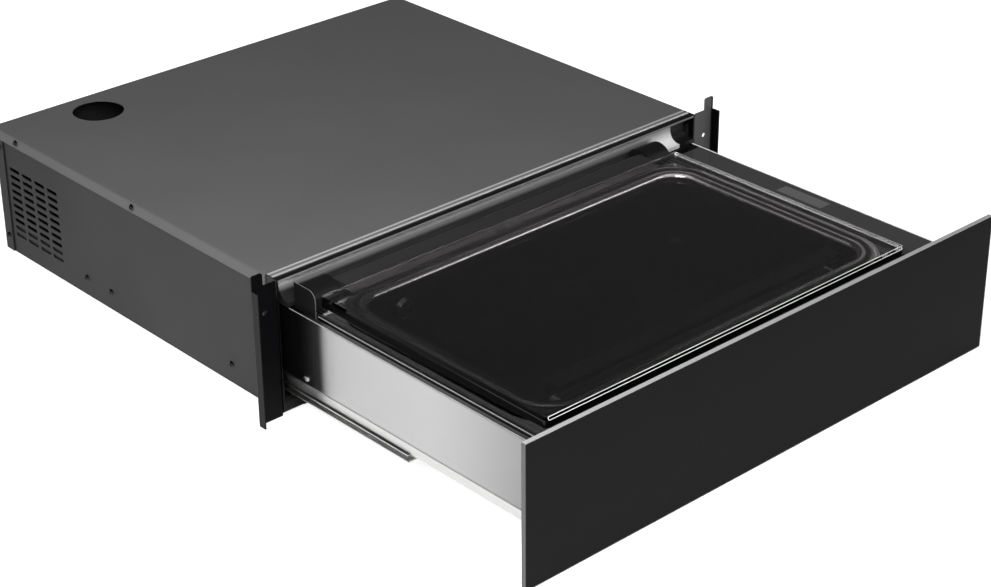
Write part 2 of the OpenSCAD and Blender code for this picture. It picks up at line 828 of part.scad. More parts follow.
module drawer_rail() {
    x = wall_x - rail_t / 2;
    z = inner_top - rail_t / 2;
    along_y(inner_front, inner_front + rail_l) {
        sheet_2d([[x, inner_z], [x, z], [floor_x + 2, z], [floor_x + 2, mid_top + 2.5]], rail_t, rail_t);
        guide_2d(inner_top - rail_t, -1, 5.5);
    }
}

module fixed_rail_left() {
    color("silver") placed() mirror([1, 0, 0]) fixed_rail();
}

module fixed_rail_right() {
    color("silver") placed() fixed_rail();
}

module middle_rail_left() {
    color("silver") placed() mirror([1, 0, 0]) middle_rail();
}

module middle_rail_right() {
    color("silver") placed() middle_rail();
}

module drawer_rail_left() {
    color("silver") placed() mirror([1, 0, 0]) drawer_rail();
}

module drawer_rail_right() {
    color("silver") placed() drawer_rail();
}

// ---- Drawer body ----

// One pressed sheet: deep middle, shoulders on the runners, edges turned up at the walls
module drawer_floor() {
    t = floor_t;
    edge = wall_x - wall_t - t / 2;
    path = [[-edge, inner_top + 12], [-edge, inner_top + t / 2], [-floor_x, inner_top + t / 2],
        [-floor_x, floor_z + t / 2], [floor_x, floor_z + t / 2], [floor_x, inner_top + t / 2],
        [edge, inner_top + t / 2], [edge, inner_top + 12]];
    color("silver") placed() difference() {
        along_y(carrier_y + 2, back_y) sheet_2d(path, t + 0.3, t);
        drill_row(-wall_x, wall_x, wall_screws);
    }
}

// Right hand wall with a hemmed top edge and a front flange for the panel
module drawer_wall() {
    x = wall_x - wall_t / 2;
    top = wall_top - wall_t / 2;
    hem_x = wall_x - hem_w + wall_t / 2;
    difference() {
        union() {
            along_y(carrier_y, drawer_end)
                sheet_2d([[hem_x, wall_top - hem_drop], [hem_x, top], [x, top], [x, inner_top]], wall_t, wall_t);
            box([wall_x - 16, carrier_y, inner_top + 14], [wall_x - wall_t / 2, carrier_y + wall_t, support_z - 3]);
        }
        drill_row(0, wall_x + 1, wall_screws);
        for (p = panel_screws)
            rod_y(carrier_y - 1, carrier_y + wall_t + 1, p[0], p[1], shank_r + shank_gap, $fn = 24);
    }
}

module drawer_wall_left() {
    color("silver") placed() mirror([1, 0, 0]) drawer_wall();
}

module drawer_wall_right() {
    color("silver") placed() drawer_wall();
}

// Rear wall with air slots, its side edges folded forward inside the walls
module drawer_back() {
    x = wall_x - wall_t * 1.5;
    y = drawer_end - wall_t / 2;
    path = [[-x, y - 12], [-x, y], [x, y], [x, y - 12]];
    color("silver") placed() difference() {
        union() {
            along_z(inner_top + 16, support_z - 4) sheet_2d(path, wall_t, wall_t);
            box([1 - x, back_y, inner_top + floor_t], [x - 1, drawer_end, wall_top - hem_drop - 1]);
            box([hem_w - wall_x + 1, back_y, wall_top - hem_drop - 2],
                [wall_x - hem_w - 1, drawer_end, hood_top - wall_t]);
        }
        along_y(back_y - 1, drawer_end + 1)
            for (i = [-2:2], j = [0:3]) translate([i * 62, support_z - 37 + j * 11]) slot_2d(46, 4);
    }
}

module drawer_screws() {
    color("silver") placed() both_sides() {
        wall_row(wall_x, wall_screws, wall_t + floor_t + 1.5);
        for (p = panel_screws)
            translate([p[0], carrier_y + wall_t, p[1]]) rotate(-90) screw(wall_t + carrier_t);
    }
}

// ---- Front panel ----

panel_z = panel_h / 2 - panel_drop;

module front_glass() {
    gap = edge_t + 0.1;
    color([0.2, 0.2, 0.21]) placed() along_y(panel_front, panel_back)
        translate([0, panel_z]) rounded_rect(panel_w - 2 * gap, panel_h - 2 * gap, 1);
}

module front_edge_frame() {
    color("silver") placed() along_y(panel_front, panel_back) translate([0, panel_z]) difference() {
        rounded_rect(panel_w, panel_h, 1.8);
        rounded_rect(panel_w - 2 * edge_t, panel_h - 2 * edge_t, 1);
    }
}

// Shallow pressed tray that the glass is bonded to, open towards the case
module panel_carrier() {
    w = panel_w - 2 * carrier_in;
    h = panel_h - 2 * carrier_in;
    color([0.1, 0.1, 0.1]) placed() difference() {
        along_y(panel_back, panel_back + carrier_fold) translate([0, panel_z]) rounded_rect(w, h, 3);
        along_y(carrier_y, panel_back + carrier_fold + 1)
            translate([0, panel_z]) rounded_rect(w - 2 * carrier_t, h - 2 * carrier_t, 3 - carrier_t);
        both_sides() for (p = panel_screws)
            rod_y(panel_back - 1, carrier_y + 1, p[0], p[1], shank_r + shank_gap, $fn = 24);
    }
}

// ---- Tray and chamber ----

// Angle along the right wall, reaching in below the tray's folded edge
module tray_support(reach) {
    x = wall_x - wall_t * 1.5;
    z = support_z - wall_t / 2;
    along_y(carrier_y + 3, tray_y1) sheet_2d([[x, z - 12], [x, z], [x - reach, z]], wall_t, wall_t);
}

module tray_support_left() {
    color("silver") placed() mirror([1, 0, 0]) tray_support(wall_x + tray_x0 + 12);
}

module tray_support_right() {
    color("silver") placed() tray_support(wall_x - tray_x1 + 8);
}

module top_tray() {
    z = tray_z - tray_t / 2;
    path = [[tray_x0 + tray_t / 2, support_z], [tray_x0 + tray_t / 2, z],
        [tray_x1 - tray_t / 2, z], [tray_x1 - tray_t / 2, support_z]];
    cut = 2 * (tub_corner - rim_in - 3.2);
    color("silver") placed() difference() {
        along_y(tray_y0, tray_y1) sheet_2d(path, 2.5, tray_t);
        translate([lid_x, lid_y, tray_z - tray_t - 1]) linear_extrude(tray_t + 2)
            rounded_rect(lid_w - 2 * tub_corner + cut, lid_d - 2 * tub_corner + cut, cut / 2);
    }
}

// Pressed chamber: flange on the tray, stepped sealing rim with the gasket's channel,
// rolled edge, straight walls and a filleted floor, swept round the four corners
module chamber_tub() {
    h = tub_t / 2;
    foot = tub_corner - rim_in;
    path = [[foot, tray_z + h], [foot - 3.2, tray_z + h], [foot - 5, rim_z - h],
        [seal_r1 + h + 0.1, rim_z - h], [seal_r1 + h + 0.1, seal_floor - h],
        [seal_r0 - h - 0.1, seal_floor - h], [seal_r0 - h - 0.1, rim_z - h],
        [wall_r + h, rim_z - h], [wall_r + h, chamber_z - h], [4, chamber_z - h]];
    radii = [0.8, 0.8, 0.65, 0.65, 0.65, 0.65, min(rim_roll, seal_r0 - wall_r - tub_t - 1), tub_fillet];
    core = tub_corner - 5;
    color("silver") placed() difference() {
        translate([lid_x, lid_y, 0]) {
            round_sweep(lid_w, lid_d, tub_corner) sheet_2d(path, radii, tub_t);
            translate([0, 0, chamber_z - tub_t]) linear_extrude(tub_t)
                rounded_rect(lid_w - 2 * core, lid_d - 2 * core, 5);
        }
        rod_y(lid_y1 - wall_in - 4, lid_y1, port_x, port_z, 6.1);
    }
}

// Hollow-backed gasket with a domed lip, seated in the rim's channel
module lid_seal() {
    r0 = seal_r0;
    mid = seal_r0 + seal_w / 2;
    dome = [for (a = [30:30:150]) [mid + seal_w / 2 * cos(a), seal_top - 1.6 + 1.6 * sin(a)]];
    outline = concat([[r0, seal_floor], [r0 + seal_w, seal_floor], [r0 + seal_w, seal_top - 1.6]],
        dome, [[r0, seal_top - 1.6]]);
    color([0.1, 0.1, 0.11]) placed() translate([lid_x, lid_y, 0])
        round_sweep(lid_w, lid_d, tub_corner) polygon(outline);
}

// Strainer flange inside the chamber, neck through its wall, nut and hose barb behind
module suction_fitting() {
    face = lid_y1 - wall_in;
    outline = [[0, -3], [8, -3], [11, 0], [6, 0], [6, tub_t], [9, tub_t], [9, tub_t + 4], [5.5, tub_t + 4],
        [5.5, tub_t + 8], [hose_d / 2 - 1.8, tub_t + 9], [hose_d / 2 - 1.8, 24], [2.6, 24], [2.6, -1], [0, -1]];
    color("silver") placed() translate([port_x, face, port_z]) rotate([-90, 0, 0])
        rotate_extrude() polygon(outline);
}

// ---- Sealing bar ----

rod_places = [for (s = [-1, 1]) [lid_x + s * rod_pitch / 2, bar_y]];

module rod_sleeves() {
    outer = rod_r + 3;
    foot = bar_in - tub_fillet;
    outline = [[rod_r + run_fit, chamber_z], [foot, chamber_z], [foot, chamber_z + 3],
        [outer + 1, chamber_z + 4], [outer, chamber_z + 6], [outer, sleeve_top - 1],
        [outer - 1, sleeve_top], [rod_r + run_fit, sleeve_top]];
    color([0.25, 0.25, 0.26]) placed()
        for (p = rod_places) translate(p) rotate_extrude() polygon(outline);
}

// Bar with a grooved body and the two rods that lift it
module sealing_bar() {
    w = bar_w / 2;
    top = bar_z + bar_h;
    outline = [[-w, bar_z], [w, bar_z], [w, bar_z + 4], [w - 1.5, bar_z + 5], [w - 1.5, top - 5],
        [w, top - 4], [w, top - 1], [w - 1, top], [1 - w, top], [-w, top - 1], [-w, top - 4],
        [1.5 - w, top - 5], [1.5 - w, bar_z + 5], [-w, bar_z + 4]];
    color([0.7, 0.7, 0.72]) placed() {
        along_x(lid_x - bar_l / 2, lid_x + bar_l / 2) translate([bar_y, 0]) polygon(outline);
        for (p = rod_places) translate([p[0], p[1], chamber_z + 2.5])
            cylinder(h = bar_z + 1 - chamber_z - 2.5, r = rod_r);
    }
}

module heating_band() {
    half = bar_w / 2 - 2;
    z = bar_z + bar_h;
    color([0.55, 0.35, 0.2]) placed()
        box([lid_x - bar_l / 2 + 4, bar_y - half, z], [lid_x + bar_l / 2 - 4, bar_y + half, z + band_t]);
}

// ---- Lid ----

// Glass plate whose top edge is chamfered all round
module lid_glass() {
    top = lid_z + lid_t;
    core = lid_corner - 2.4;
    outline = [[lid_corner - 2.6, lid_z], [lid_corner - 0.4, lid_z], [lid_corner, lid_z + 0.4],
        [lid_corner, top - lid_chamfer], [lid_corner - lid_chamfer, top], [lid_corner - 2.6, top]];
    color([0.16, 0.17, 0.18]) placed() translate([lid_x, lid_y, 0]) {
        round_sweep(lid_w, lid_d, lid_corner) polygon(outline);
        translate([0, 0, lid_z]) linear_extrude(lid_t)
            rounded_rect(lid_w - 2 * (lid_corner - core), lid_d - 2 * (lid_corner - core), core);
    }
}

// Bar behind the glass with the strip it is bonded to, rounded about the hinge axis
module hinge_bar() {
    low = tray_z + rim_h + 0.4;
    color([0.08, 0.08, 0.08]) placed() both_ends() difference() {
        along_x(0, hinge_half) {
            translate([lid_y1 - bond_d, low]) square([bond_d + hinge_back, lid_z - low]);
            translate([lid_y1 + 0.3, low]) square([hinge_back - 0.3, hinge_z + bar_r - low]);
            translate([hinge_y, hinge_z]) circle(bar_r);
        }
        rod_x(hinge_half - pin_in - 1, hinge_half + 1, hinge_y, hinge_z, pin_r + run_fit);
    }
}

module hinge_pins() {
    color("silver") placed() both_ends()
        rod_x(hinge_half - pin_in, cap_x + 1 + block_l, hinge_y, hinge_z, pin_r);
}

module block_2d(grow) {
    translate([hinge_y - 6 - grow, tray_z - grow]) square([12 + 2 * grow, hinge_up + grow]);
    translate([hinge_y, hinge_z]) circle(6 + grow);
}

module hinge_blocks() {
    color("silver") placed() both_ends() along_x(cap_x + 1, cap_x + 1 + block_l) difference() {
        block_2d(0);
        translate([hinge_y, hinge_z]) circle(pin_r + 0.02);
    }
}

// Region under the rear housing's outer surface, drawn in by k, down to z
module hood_2d(k, z) {
    translate([hood_y + k, z]) square([drawer_end - hood_y - k, hood_top - k - z]);
    translate([foot_y + k, z]) square([hood_y - foot_y, foot_z - k - z]);
    difference() {
        translate([hood_y - hood_r, foot_z - k - 1]) square([hood_r + k + 1, hood_r + k + 1]);
        translate([hood_y - hood_r, foot_z + hood_r]) circle(hood_r + k);
    }
}

// Domed cap over a hinge block, standing on the tray and on the housing's foot
module hinge_cap() {
    difference() {
        along_x(cap_x, cap_x + cap_w) difference() {
            intersection() {
                translate([cap_y0, tray_z]) square([cap_y1 - cap_y0, cap_h]);
                translate([(cap_y0 + cap_y1) / 2, tray_z + cap_h - cap_r]) circle(cap_r, $fn = 96);
            }
            translate([-0.2, 0.2]) hood_2d(0, tray_z - 1);
        }
        along_x(cap_x - 1, cap_x + cap_w - cap_t) block_2d(0.25);
    }
}

module hinge_cap_left() {
    color([0.08, 0.08, 0.08]) placed() translate([lid_x, 0, 0]) mirror([1, 0, 0]) hinge_cap();
}

module hinge_cap_right() {
    color([0.08, 0.08, 0.08]) placed() translate([lid_x, 0, 0]) hinge_cap();
}

// Rubber faced bar under the glass that the sealing bar presses against
module counter_bar() {
    w = bar_w / 2 + 2;
    outline = [[-w, lid_z], [-w, counter_z + 3], [2.5 - w, counter_z], [w - 2.5, counter_z],
        [w, counter_z + 3], [w, lid_z]];
    color([0.1, 0.1, 0.1]) placed()
        along_x(lid_x - bar_l / 2 - 4, lid_x + bar_l / 2 + 4) translate([bar_y, 0]) polygon(outline);
}

module counter_strip() {
    half = bar_w / 2 - 1.5;
    color([0.5, 0.22, 0.15]) placed()
        box([lid_x - bar_l / 2 - 2, bar_y - half, counter_z - strip_h],
            [lid_x + bar_l / 2 + 2, bar_y + half, counter_z]);
}

// ---- Controls and rear housing ----

// Channel under the control glass; at the rear it rises into the housing's end piece
module control_housing() {
    t = 1.5;
    x0 = tray_x1 + 0.5;
    y0 = tray_y0;
    y1 = foot_y - 0.3;
    color([0.07, 0.07, 0.07]) placed() {
        difference() {
            box([x0, y0, support_z], [housing_x1, y1, strip_z]);
            box([x0 + t, y0 + t, support_z + t], [housing_x1 - t, y1 - t, strip_z + 1]);
        }
        box([hood_x1 + 0.2, y1 - t, support_z], [housing_x1, foot_y + 12, strip_z]);
        box([hood_x1 + 0.2, foot_y, strip_z - 1], [housing_x1, foot_y + 12, tray_z + 1]);
        along_x(hood_x1 + 0.2, wall_x) intersection() {
            hood_2d(0, tray_z - 1);
            translate([foot_y - 1, tray_z - 1]) square([40, hood_top]);
        }
    }
}

module control_glass() {
    window = [display_x1 - display_w, display_y0];
    color([0.13, 0.13, 0.14]) placed() along_z(strip_z, strip_z + strip_t) difference() {
        translate([strip_x0, tray_y0]) square([strip_x1 - strip_x0, strip_y1 - tray_y0]);
        translate(window) square([display_w, display_l]);
    }
}

module display_window() {
    gap = 0.1;
    color([0.42, 0.44, 0.45]) placed() along_z(strip_z, strip_z + strip_t - 0.1)
        translate([display_x1 - display_w + gap, display_y0 + gap])
            square([display_w - 2 * gap, display_l - 2 * gap]);
}

// Stainless housing over the pump, with a coved front and a cheek at each end
module rear_hood() {
    z = wall_top + 0.1;
    color("silver") placed() {
        along_x(-wall_x, hood_x1) difference() {
            hood_2d(0, tray_z);
            hood_2d(wall_t, tray_z - 2);
        }
        along_x(-wall_x, wall_t - wall_x) hood_2d(0, z);
        along_x(hood_x1 - wall_t, hood_x1) intersection() {
            hood_2d(0, tray_z);
            translate([foot_y, tray_z]) square([back_y - foot_y, hood_top - tray_z]);
        }
        along_y(foot_y + 45, drawer_end) {
            translate([hood_x1 - wall_t, hood_top - wall_t]) square([wall_x - hood_x1 + wall_t, wall_t]);
            translate([wall_x - wall_t, z]) square([wall_t, hood_top - z]);
        }
    }
}

// Upright plate beside the lid's left rear corner
module guard_plate() {
    y0 = foot_y - guard_l;
    color([0.2, 0.2, 0.2]) placed() along_x(tray_x0 - 1.4, tray_x0 - 0.4) {
        translate([y0, support_z]) square([guard_l - 0.3, hood_top - guard_r - support_z]);
        translate([y0 + guard_r, hood_top - guard_r - 1]) square([guard_l - guard_r - 0.3, guard_r + 1]);
        translate([y0 + guard_r, hood_top - guard_r]) circle(guard_r);
    }
}

// ---- Pump compartment ----

mount_places = [for (x = [motor_x - pump_l, motor_x + motor_l - 10], y = [-30, 30]) [x, pump_y + y]];

module pump_plate() {
    x0 = motor_x - pump_l - 8;
    x1 = motor_x + motor_l;
    color("silver") placed() along_z(mount_top, mount_top + 2)
        translate([(x0 + x1) / 2, pump_y]) rounded_rect(x1 - x0, 80, 6);
}

module pump_mounts() {
    color([0.08, 0.08, 0.08]) placed() for (p = mount_places) translate([p[0], p[1], floor_top])
        rotate_extrude() polygon([[0, 0], [8, 0], [6.5, mount_h / 2], [8, mount_h], [0, mount_h]]);
}

module pump_head() {
    x0 = motor_x - pump_l;
    y0 = pump_y - pump_s / 2;
    pitch = (pump_l - 6) / pump_fins;
    color([0.6, 0.61, 0.62]) placed() difference() {
        box([x0, y0, pump_z], [motor_x - 0.5, y0 + pump_s, pump_z + pump_s]);
        for (i = [0:pump_fins - 1], y = [y0 - 1, y0 + pump_s - 6])
            box([x0 + 3 + i * pitch + pitch * 0.3, y, pump_z + 12],
                [x0 + 3 + (i + 1) * pitch, y + 7, pump_z + pump_s + 1]);
        rod_x(x0 - 1, x0 + 8, hose_y, port_z, 4.2);
    }
}

module pump_motor() {
    x1 = motor_x + motor_l;
    color([0.12, 0.12, 0.13]) placed() difference() {
        union() {
            rod_x(motor_x, x1 - 20, pump_y, motor_z, motor_r);
            rod_x(x1 - 20, x1 - 15, pump_y, motor_z, motor_r - 1.1);
            box([motor_x + 12, pump_y - 26, pump_z], [x1 - 32, pump_y + 26, motor_z - motor_r + 8]);
        }
        rod_x(x1 - 32, x1 - 14, pump_y, motor_z, shaft_r + run_fit);
    }
}

// Fan wheel with the end of the motor's shaft, which runs in the motor's bore
module motor_fan() {
    x1 = motor_x + motor_l;
    color([0.3, 0.3, 0.31]) placed() {
        rod_x(x1 - 31, x1 - 3, pump_y, motor_z, shaft_r);
        rod_x(x1 - 14, x1 - 4, pump_y, motor_z, shaft_r + 4);
        rod_x(x1 - 14, x1 - 12.5, pump_y, motor_z, fan_r);
        for (i = [0:fan_blades - 1]) translate([x1 - 13, pump_y, motor_z])
            rotate([(i + 0.3) * 360 / fan_blades, 0, 0]) box([0, -0.75, shaft_r + 3], [8, 0.75, fan_r - 1]);
    }
}

// Cowl over the motor's fan, with radial air slots
module motor_fan_cover() {
    x1 = motor_x + motor_l;
    color([0.1, 0.1, 0.1]) placed() difference() {
        rod_x(x1 - 18, x1 + 4, pump_y, motor_z, motor_r + 0.5);
        rod_x(x1 - 19, x1 + 2, pump_y, motor_z, motor_r - 1);
        for (a = [0:30:330]) translate([x1, pump_y, motor_z]) rotate([a, 0, 0])
            box([-1, -1.5, 10], [6, 1.5, motor_r - 6]);
    }
}

// Solenoid valve on its bracket, between the chamber and the pump
module vacuum_valve() {
    x0 = valve_x;
    color([0.72, 0.6, 0.3]) placed() {
        box([x0, hose_y - 14, port_z - 12], [x0 + valve_l, hose_y + 14, port_z + 9]);
        translate([x0 + valve_l / 2, hose_y, port_z + 9]) cylinder(h = min(16, hood_top - port_z - 13), r = 11);
        box([x0 + 10, hose_y - 1.5, floor_top], [x0 + valve_l - 10, hose_y + 1.5, port_z - 12]);
    }
}

// Hose from the chamber to the valve and from the valve to the pump
module vacuum_hose() {
    inner = hose_d / 2 - 1.7;
    start = lid_y1 - wall_in + tub_t + 9.5;
    turn_y = hose_y - hose_bend;
    color([0.2, 0.2, 0.2]) placed() {
        difference() {
            rod_y(start, turn_y, port_x, port_z, hose_d / 2);
            rod_y(start - 1, turn_y + 1, port_x, port_z, inner);
        }
        translate([port_x + hose_bend, turn_y, port_z]) rotate(90) rotate_extrude(angle = 90)
            translate([hose_bend, 0]) difference() {
                circle(hose_d / 2);
                circle(inner);
            }
        difference() {
            rod_x(port_x + hose_bend, valve_x, hose_y, port_z, hose_d / 2);
            rod_x(port_x + hose_bend - 1, valve_x + 1, hose_y, port_z, inner);
        }
        difference() {
            rod_x(valve_x + valve_l, motor_x - pump_l, hose_y, port_z, hose_d / 2);
            rod_x(valve_x + valve_l - 1, motor_x - pump_l + 1, hose_y, port_z, inner);
        }
    }
}

// Laminated core on two feet with the winding round its middle limb
module transformer() {
    x = -floor_x + 30;
    y = drawer_end - 32;
    color([0.45, 0.3, 0.16]) placed() {
        box([x - 22, y - 20, floor_top], [x + 22, y + 20, floor_top + 2]);
        box([x - 20, y - 9, floor_top + 2], [x + 20, y + 9, floor_top + 44]);
        along_y(y - 18, y + 18) translate([x, floor_top + 23]) rounded_rect(24, 26, 4);
    }
}

// Circuit board on four posts with its larger components
module power_board() {
    x0 = motor_x + motor_l + 20;
    x1 = floor_x - 6;
    y0 = hood_y + 14;
    y1 = drawer_end - 10;
    z = floor_top + 8;
    color([0.1, 0.3, 0.2]) placed() {
        box([x0, y0, z], [x1, y1, z + 1.6]);
        for (x = [x0 + 5, x1 - 5], y = [y0 + 5, y1 - 5]) translate([x, y, floor_top]) cylinder(h = 8.5, r = 3);
        for (x = [x0 + 14:18:x1 - 40]) translate([x, y0 + 20, z + 1]) cylinder(h = 22, r = 6.5);
        box([x0 + 8, y1 - 40, z + 1], [x0 + 34, y1 - 12, z + 20]);
        for (x = [x0 + 42:14:x1 - 20]) box([x, y1 - 30, z + 1], [x + 10, y1 - 14, z + 16]);
    }
}

base_pan();
left_side();
right_side();
top_cover();
front_crossbar();
trim_strip();
rear_cover();
left_bracket();
right_bracket();
feet();
case_screws();
cable_gland();
push_latch();
latch_plunger();
fixed_rail_left();
fixed_rail_right();
middle_rail_left();
middle_rail_right();
drawer_rail_left();
drawer_rail_right();
drawer_floor();
drawer_wall_left();
drawer_wall_right();
drawer_back();
drawer_screws();
front_glass();
front_edge_frame();
panel_carrier();
tray_support_left();
tray_support_right();
top_tray();
chamber_tub();
lid_seal();
suction_fitting();
control_housing();
control_glass();
display_window();
rear_hood();
guard_plate();
hinge_blocks();
hinge_cap_left();
hinge_cap_right();
hinge_pins();
pump_plate();
pump_mounts();
pump_head();
pump_motor();
motor_fan();
motor_fan_cover();
vacuum_valve();
vacuum_hose();
transformer();
power_board();
rod_sleeves();
sealing_bar();
heating_band();
lid_glass();
hinge_bar();
counter_bar();
counter_strip();
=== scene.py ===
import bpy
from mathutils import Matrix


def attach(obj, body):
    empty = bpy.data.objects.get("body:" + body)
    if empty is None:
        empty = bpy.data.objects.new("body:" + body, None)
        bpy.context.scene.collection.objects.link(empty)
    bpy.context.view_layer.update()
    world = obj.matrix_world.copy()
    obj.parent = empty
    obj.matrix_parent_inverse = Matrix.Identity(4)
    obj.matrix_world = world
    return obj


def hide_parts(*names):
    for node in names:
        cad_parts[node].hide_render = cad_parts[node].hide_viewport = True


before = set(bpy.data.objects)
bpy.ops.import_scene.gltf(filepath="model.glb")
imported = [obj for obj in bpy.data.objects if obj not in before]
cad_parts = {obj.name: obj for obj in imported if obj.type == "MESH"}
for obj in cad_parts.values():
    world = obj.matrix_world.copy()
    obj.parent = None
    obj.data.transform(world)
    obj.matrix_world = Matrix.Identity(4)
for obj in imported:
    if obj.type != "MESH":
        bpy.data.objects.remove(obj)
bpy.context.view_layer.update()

"""Looks of a built-in vacuum sealing drawer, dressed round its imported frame.

Lengths in the classes are millimetres in the case's own drawing, whose y 0 is the case's
front edge and z 0 its underside; place() turns them into the frame's metres.
"""

import logging
import math
from collections.abc import Callable, Iterable, Sequence
from dataclasses import dataclass
from enum import Enum

import bmesh
import bpy
from mathutils import Matrix, Vector

MM = 0.001
FRONT_Y = -58.7
FOOT_H = 3.0
IMAGE_WIDTH = 991

# The vertex attribute that keeps a swept point's distance from its corner's centre.
ACROSS = "across"
# The stretch of a noise over which a finish's roughness goes from its low to its high value.
MIDDLE = (0.3, 0.7)
# The lid's outline, which is the chamber's too: centre x and y, width and depth.
LID_OUTLINE = (-18.75, -176.0, 454.5, 291.0)

Pair = tuple[float, float]
Colour = tuple[float, float, float]
Point = tuple[float, float, float]
Settings = dict[str, object] | None
Values = dict[str | int, object] | None
log = logging.getLogger("sealing_drawer")


def place(x: float, y: float, z: float) -> Vector:
    """Turns a point of the case's drawing into the frame.

    Args:
        x: Millimetres to the right of the middle.
        y: Millimetres behind the case's front edge.
        z: Millimetres above the case's underside.

    Returns:
        The point in metres in the frame.
    """
    return Vector((x * MM, (y + FRONT_Y) * MM, (z + FOOT_H) * MM))


class Axis(Enum):
    """An axis of the frame, along which a sheet was brushed or a zone runs."""

    X = 0
    Y = 1
    Z = 2


def new_node(
    tree: bpy.types.NodeTree, kind: str, settings: Settings, values: Values
) -> bpy.types.Node:
    """Adds a node with its settings, then the links or values of its sockets."""
    node = tree.nodes.new(kind)
    for name, value in (settings or {}).items():
        setattr(node, name, value)
    for key, value in (values or {}).items():
        if isinstance(value, bpy.types.NodeSocket):
            tree.links.new(value, node.inputs[key])
        else:
            node.inputs[key].default_value = value
    return node


# ---- shader kit


class Wire:
    """A shader socket on which sums can be written as Python expressions."""

    def __init__(self, kit: "ShaderKit", socket: bpy.types.NodeSocket) -> None:
        self.kit = kit
        self.socket = socket

    def _math(self, operation: str, *values: "Wire | float") -> "Wire":
        """Adds a Math node for one operation on the given values."""
        return self.kit.add("ShaderNodeMath", {"operation": operation}, dict(enumerate(values)))

    def __add__(self, other: "Wire | float") -> "Wire":
        """Sum."""
        return self._math("ADD", self, other)

    def __radd__(self, other: float) -> "Wire":
        """Sum with a number on the left."""
        return self._math("ADD", other, self)

    def __sub__(self, other: "Wire | float") -> "Wire":
        """Difference."""
        return self._math("SUBTRACT", self, other)

    def __rsub__(self, other: float) -> "Wire":
        """Difference from a number on the left."""
        return self._math("SUBTRACT", other, self)

    def __mul__(self, other: "Wire | float") -> "Wire":
        """Product."""
        return self._math("MULTIPLY", self, other)

    def __rmul__(self, other: float) -> "Wire":
        """Product with a number on the left."""
        return self._math("MULTIPLY", other, self)

    def __gt__(self, other: float) -> "Wire":
        """1 where this is above the other, else 0."""
        return self._math("GREATER_THAN", self, other)

    def max(self, other: "Wire | float") -> "Wire":
        """The larger of the two."""
        return self._math("MAXIMUM", self, other)

    def ramp(self, low: float, high: float, out_low: float = 0.0, out_high: float = 1.0) -> "Wire":
        """Maps low..high to out_low..out_high smoothly, and holds it outside."""
        return self.kit.add("ShaderNodeMapRange", {"interpolation_type": "SMOOTHSTEP"}, {
            "Value": self, "From Min": low, "From Max": high, "To Min": out_low, "To Max": out_high,
        })


class ShaderKit:
    """Builds one node tree, a node at a time."""

    def __init__(self, tree: bpy.types.NodeTree) -> None:
        """Empties the tree and starts on it."""
        self.tree = tree
        tree.nodes.clear()

    def add(
        self, kind: str, settings: Settings = None, values: Values = None, output: str | int = 0
    ) -> Wire:
        """Adds a node.

        Args:
            kind: The node's type.
            settings: Properties, set before the sockets.
            values: Numbers, colours or wires for the input sockets, by name or number.
            output: The output socket wanted.

        Returns:
            The wanted output, or the first input of a node that has no output.
        """
        plain = {k: v.socket if isinstance(v, Wire) else v for k, v in (values or {}).items()}
        node = new_node(self.tree, kind, settings, plain)
        return Wire(self, node.outputs[output] if len(node.outputs) else node.inputs[0])

    def coords(self, scale: Point) -> Wire:
        """Object coordinates, scaled along each axis."""
        base = self.add("ShaderNodeTexCoord", output="Object")
        return self.add("ShaderNodeMapping", None, {"Vector": base, "Scale": scale})

    def noise(self, scale: Point, detail: float = 2.0, roughness: float = 0.5) -> Wire:
        """Noise between 0 and 1, with a scale for each axis in waves a metre."""
        return self.add("ShaderNodeTexNoise", None, {
            "Vector": self.coords(scale), "Scale": 1.0, "Detail": detail, "Roughness": roughness,
        })

    def axis(self, index: int) -> Wire:
        """One object coordinate, in metres."""
        base = self.add("ShaderNodeTexCoord", output="Object")
        return self.add("ShaderNodeSeparateXYZ", None, {0: base}, index)

    def blend(self, factor: Wire, low: "Colour | Wire", high: "Colour | Wire") -> Wire:
        """A colour between two, by the factor; either may be a wire."""
        from_colour, to_colour = (c if isinstance(c, Wire) else (*c, 1.0) for c in (low, high))
        values = {0: factor, 6: from_colour, 7: to_colour}
        return self.add("ShaderNodeMix", {"data_type": "RGBA"}, values, 2)

    def toned(self, factor: Wire, colour: Colour, spread: float) -> Wire:
        """A colour that goes from darker to lighter by a share of it, by the factor."""
        return self.blend(factor, scaled(colour, 1.0 - spread), scaled(colour, 1.0 + spread))

    def bump(self, height: Wire, strength: float, distance: float) -> Wire:
        """A normal bumped by a height, with the distance in metres."""
        values = {"Height": height, "Strength": strength, "Distance": distance}
        return self.add("ShaderNodeBump", None, values)

    def surface(self, values: Values) -> None:
        """Ends the tree in one Principled shader."""
        shader = self.add("ShaderNodeBsdfPrincipled", None, values)
        self.add("ShaderNodeOutputMaterial", None, {"Surface": shader})

    def rays(self) -> Iterable[Wire]:
        """Masks of the rays from the camera, from mirroring faces and through glass."""
        for kind in ("Camera", "Glossy", "Transmission"):
            yield self.add("ShaderNodeLightPath", output=f"Is {kind} Ray")


def grey(level: float) -> Colour:
    """A neutral colour."""
    return (level, level, level)


def scaled(colour: Colour, factor: float) -> Colour:
    """The colour made lighter or darker by a factor."""
    return tuple(channel * factor for channel in colour)


# ---- finishes


@dataclass(frozen=True)
class Finish:
    """A surface finish that makes one material."""

    name: str

    def build(self, kit: ShaderKit) -> None:
        raise NotImplementedError

    def material(self) -> bpy.types.Material:
        """Makes the material.

        Returns:
            The material, under the finish's own name, made once.
        """
        name = f"{self.name}_finish"
        known = bpy.data.materials.get(name)
        if known:
            return known
        material = bpy.data.materials.new(name)
        material.use_nodes = True
        self.build(ShaderKit(material.node_tree))
        return material


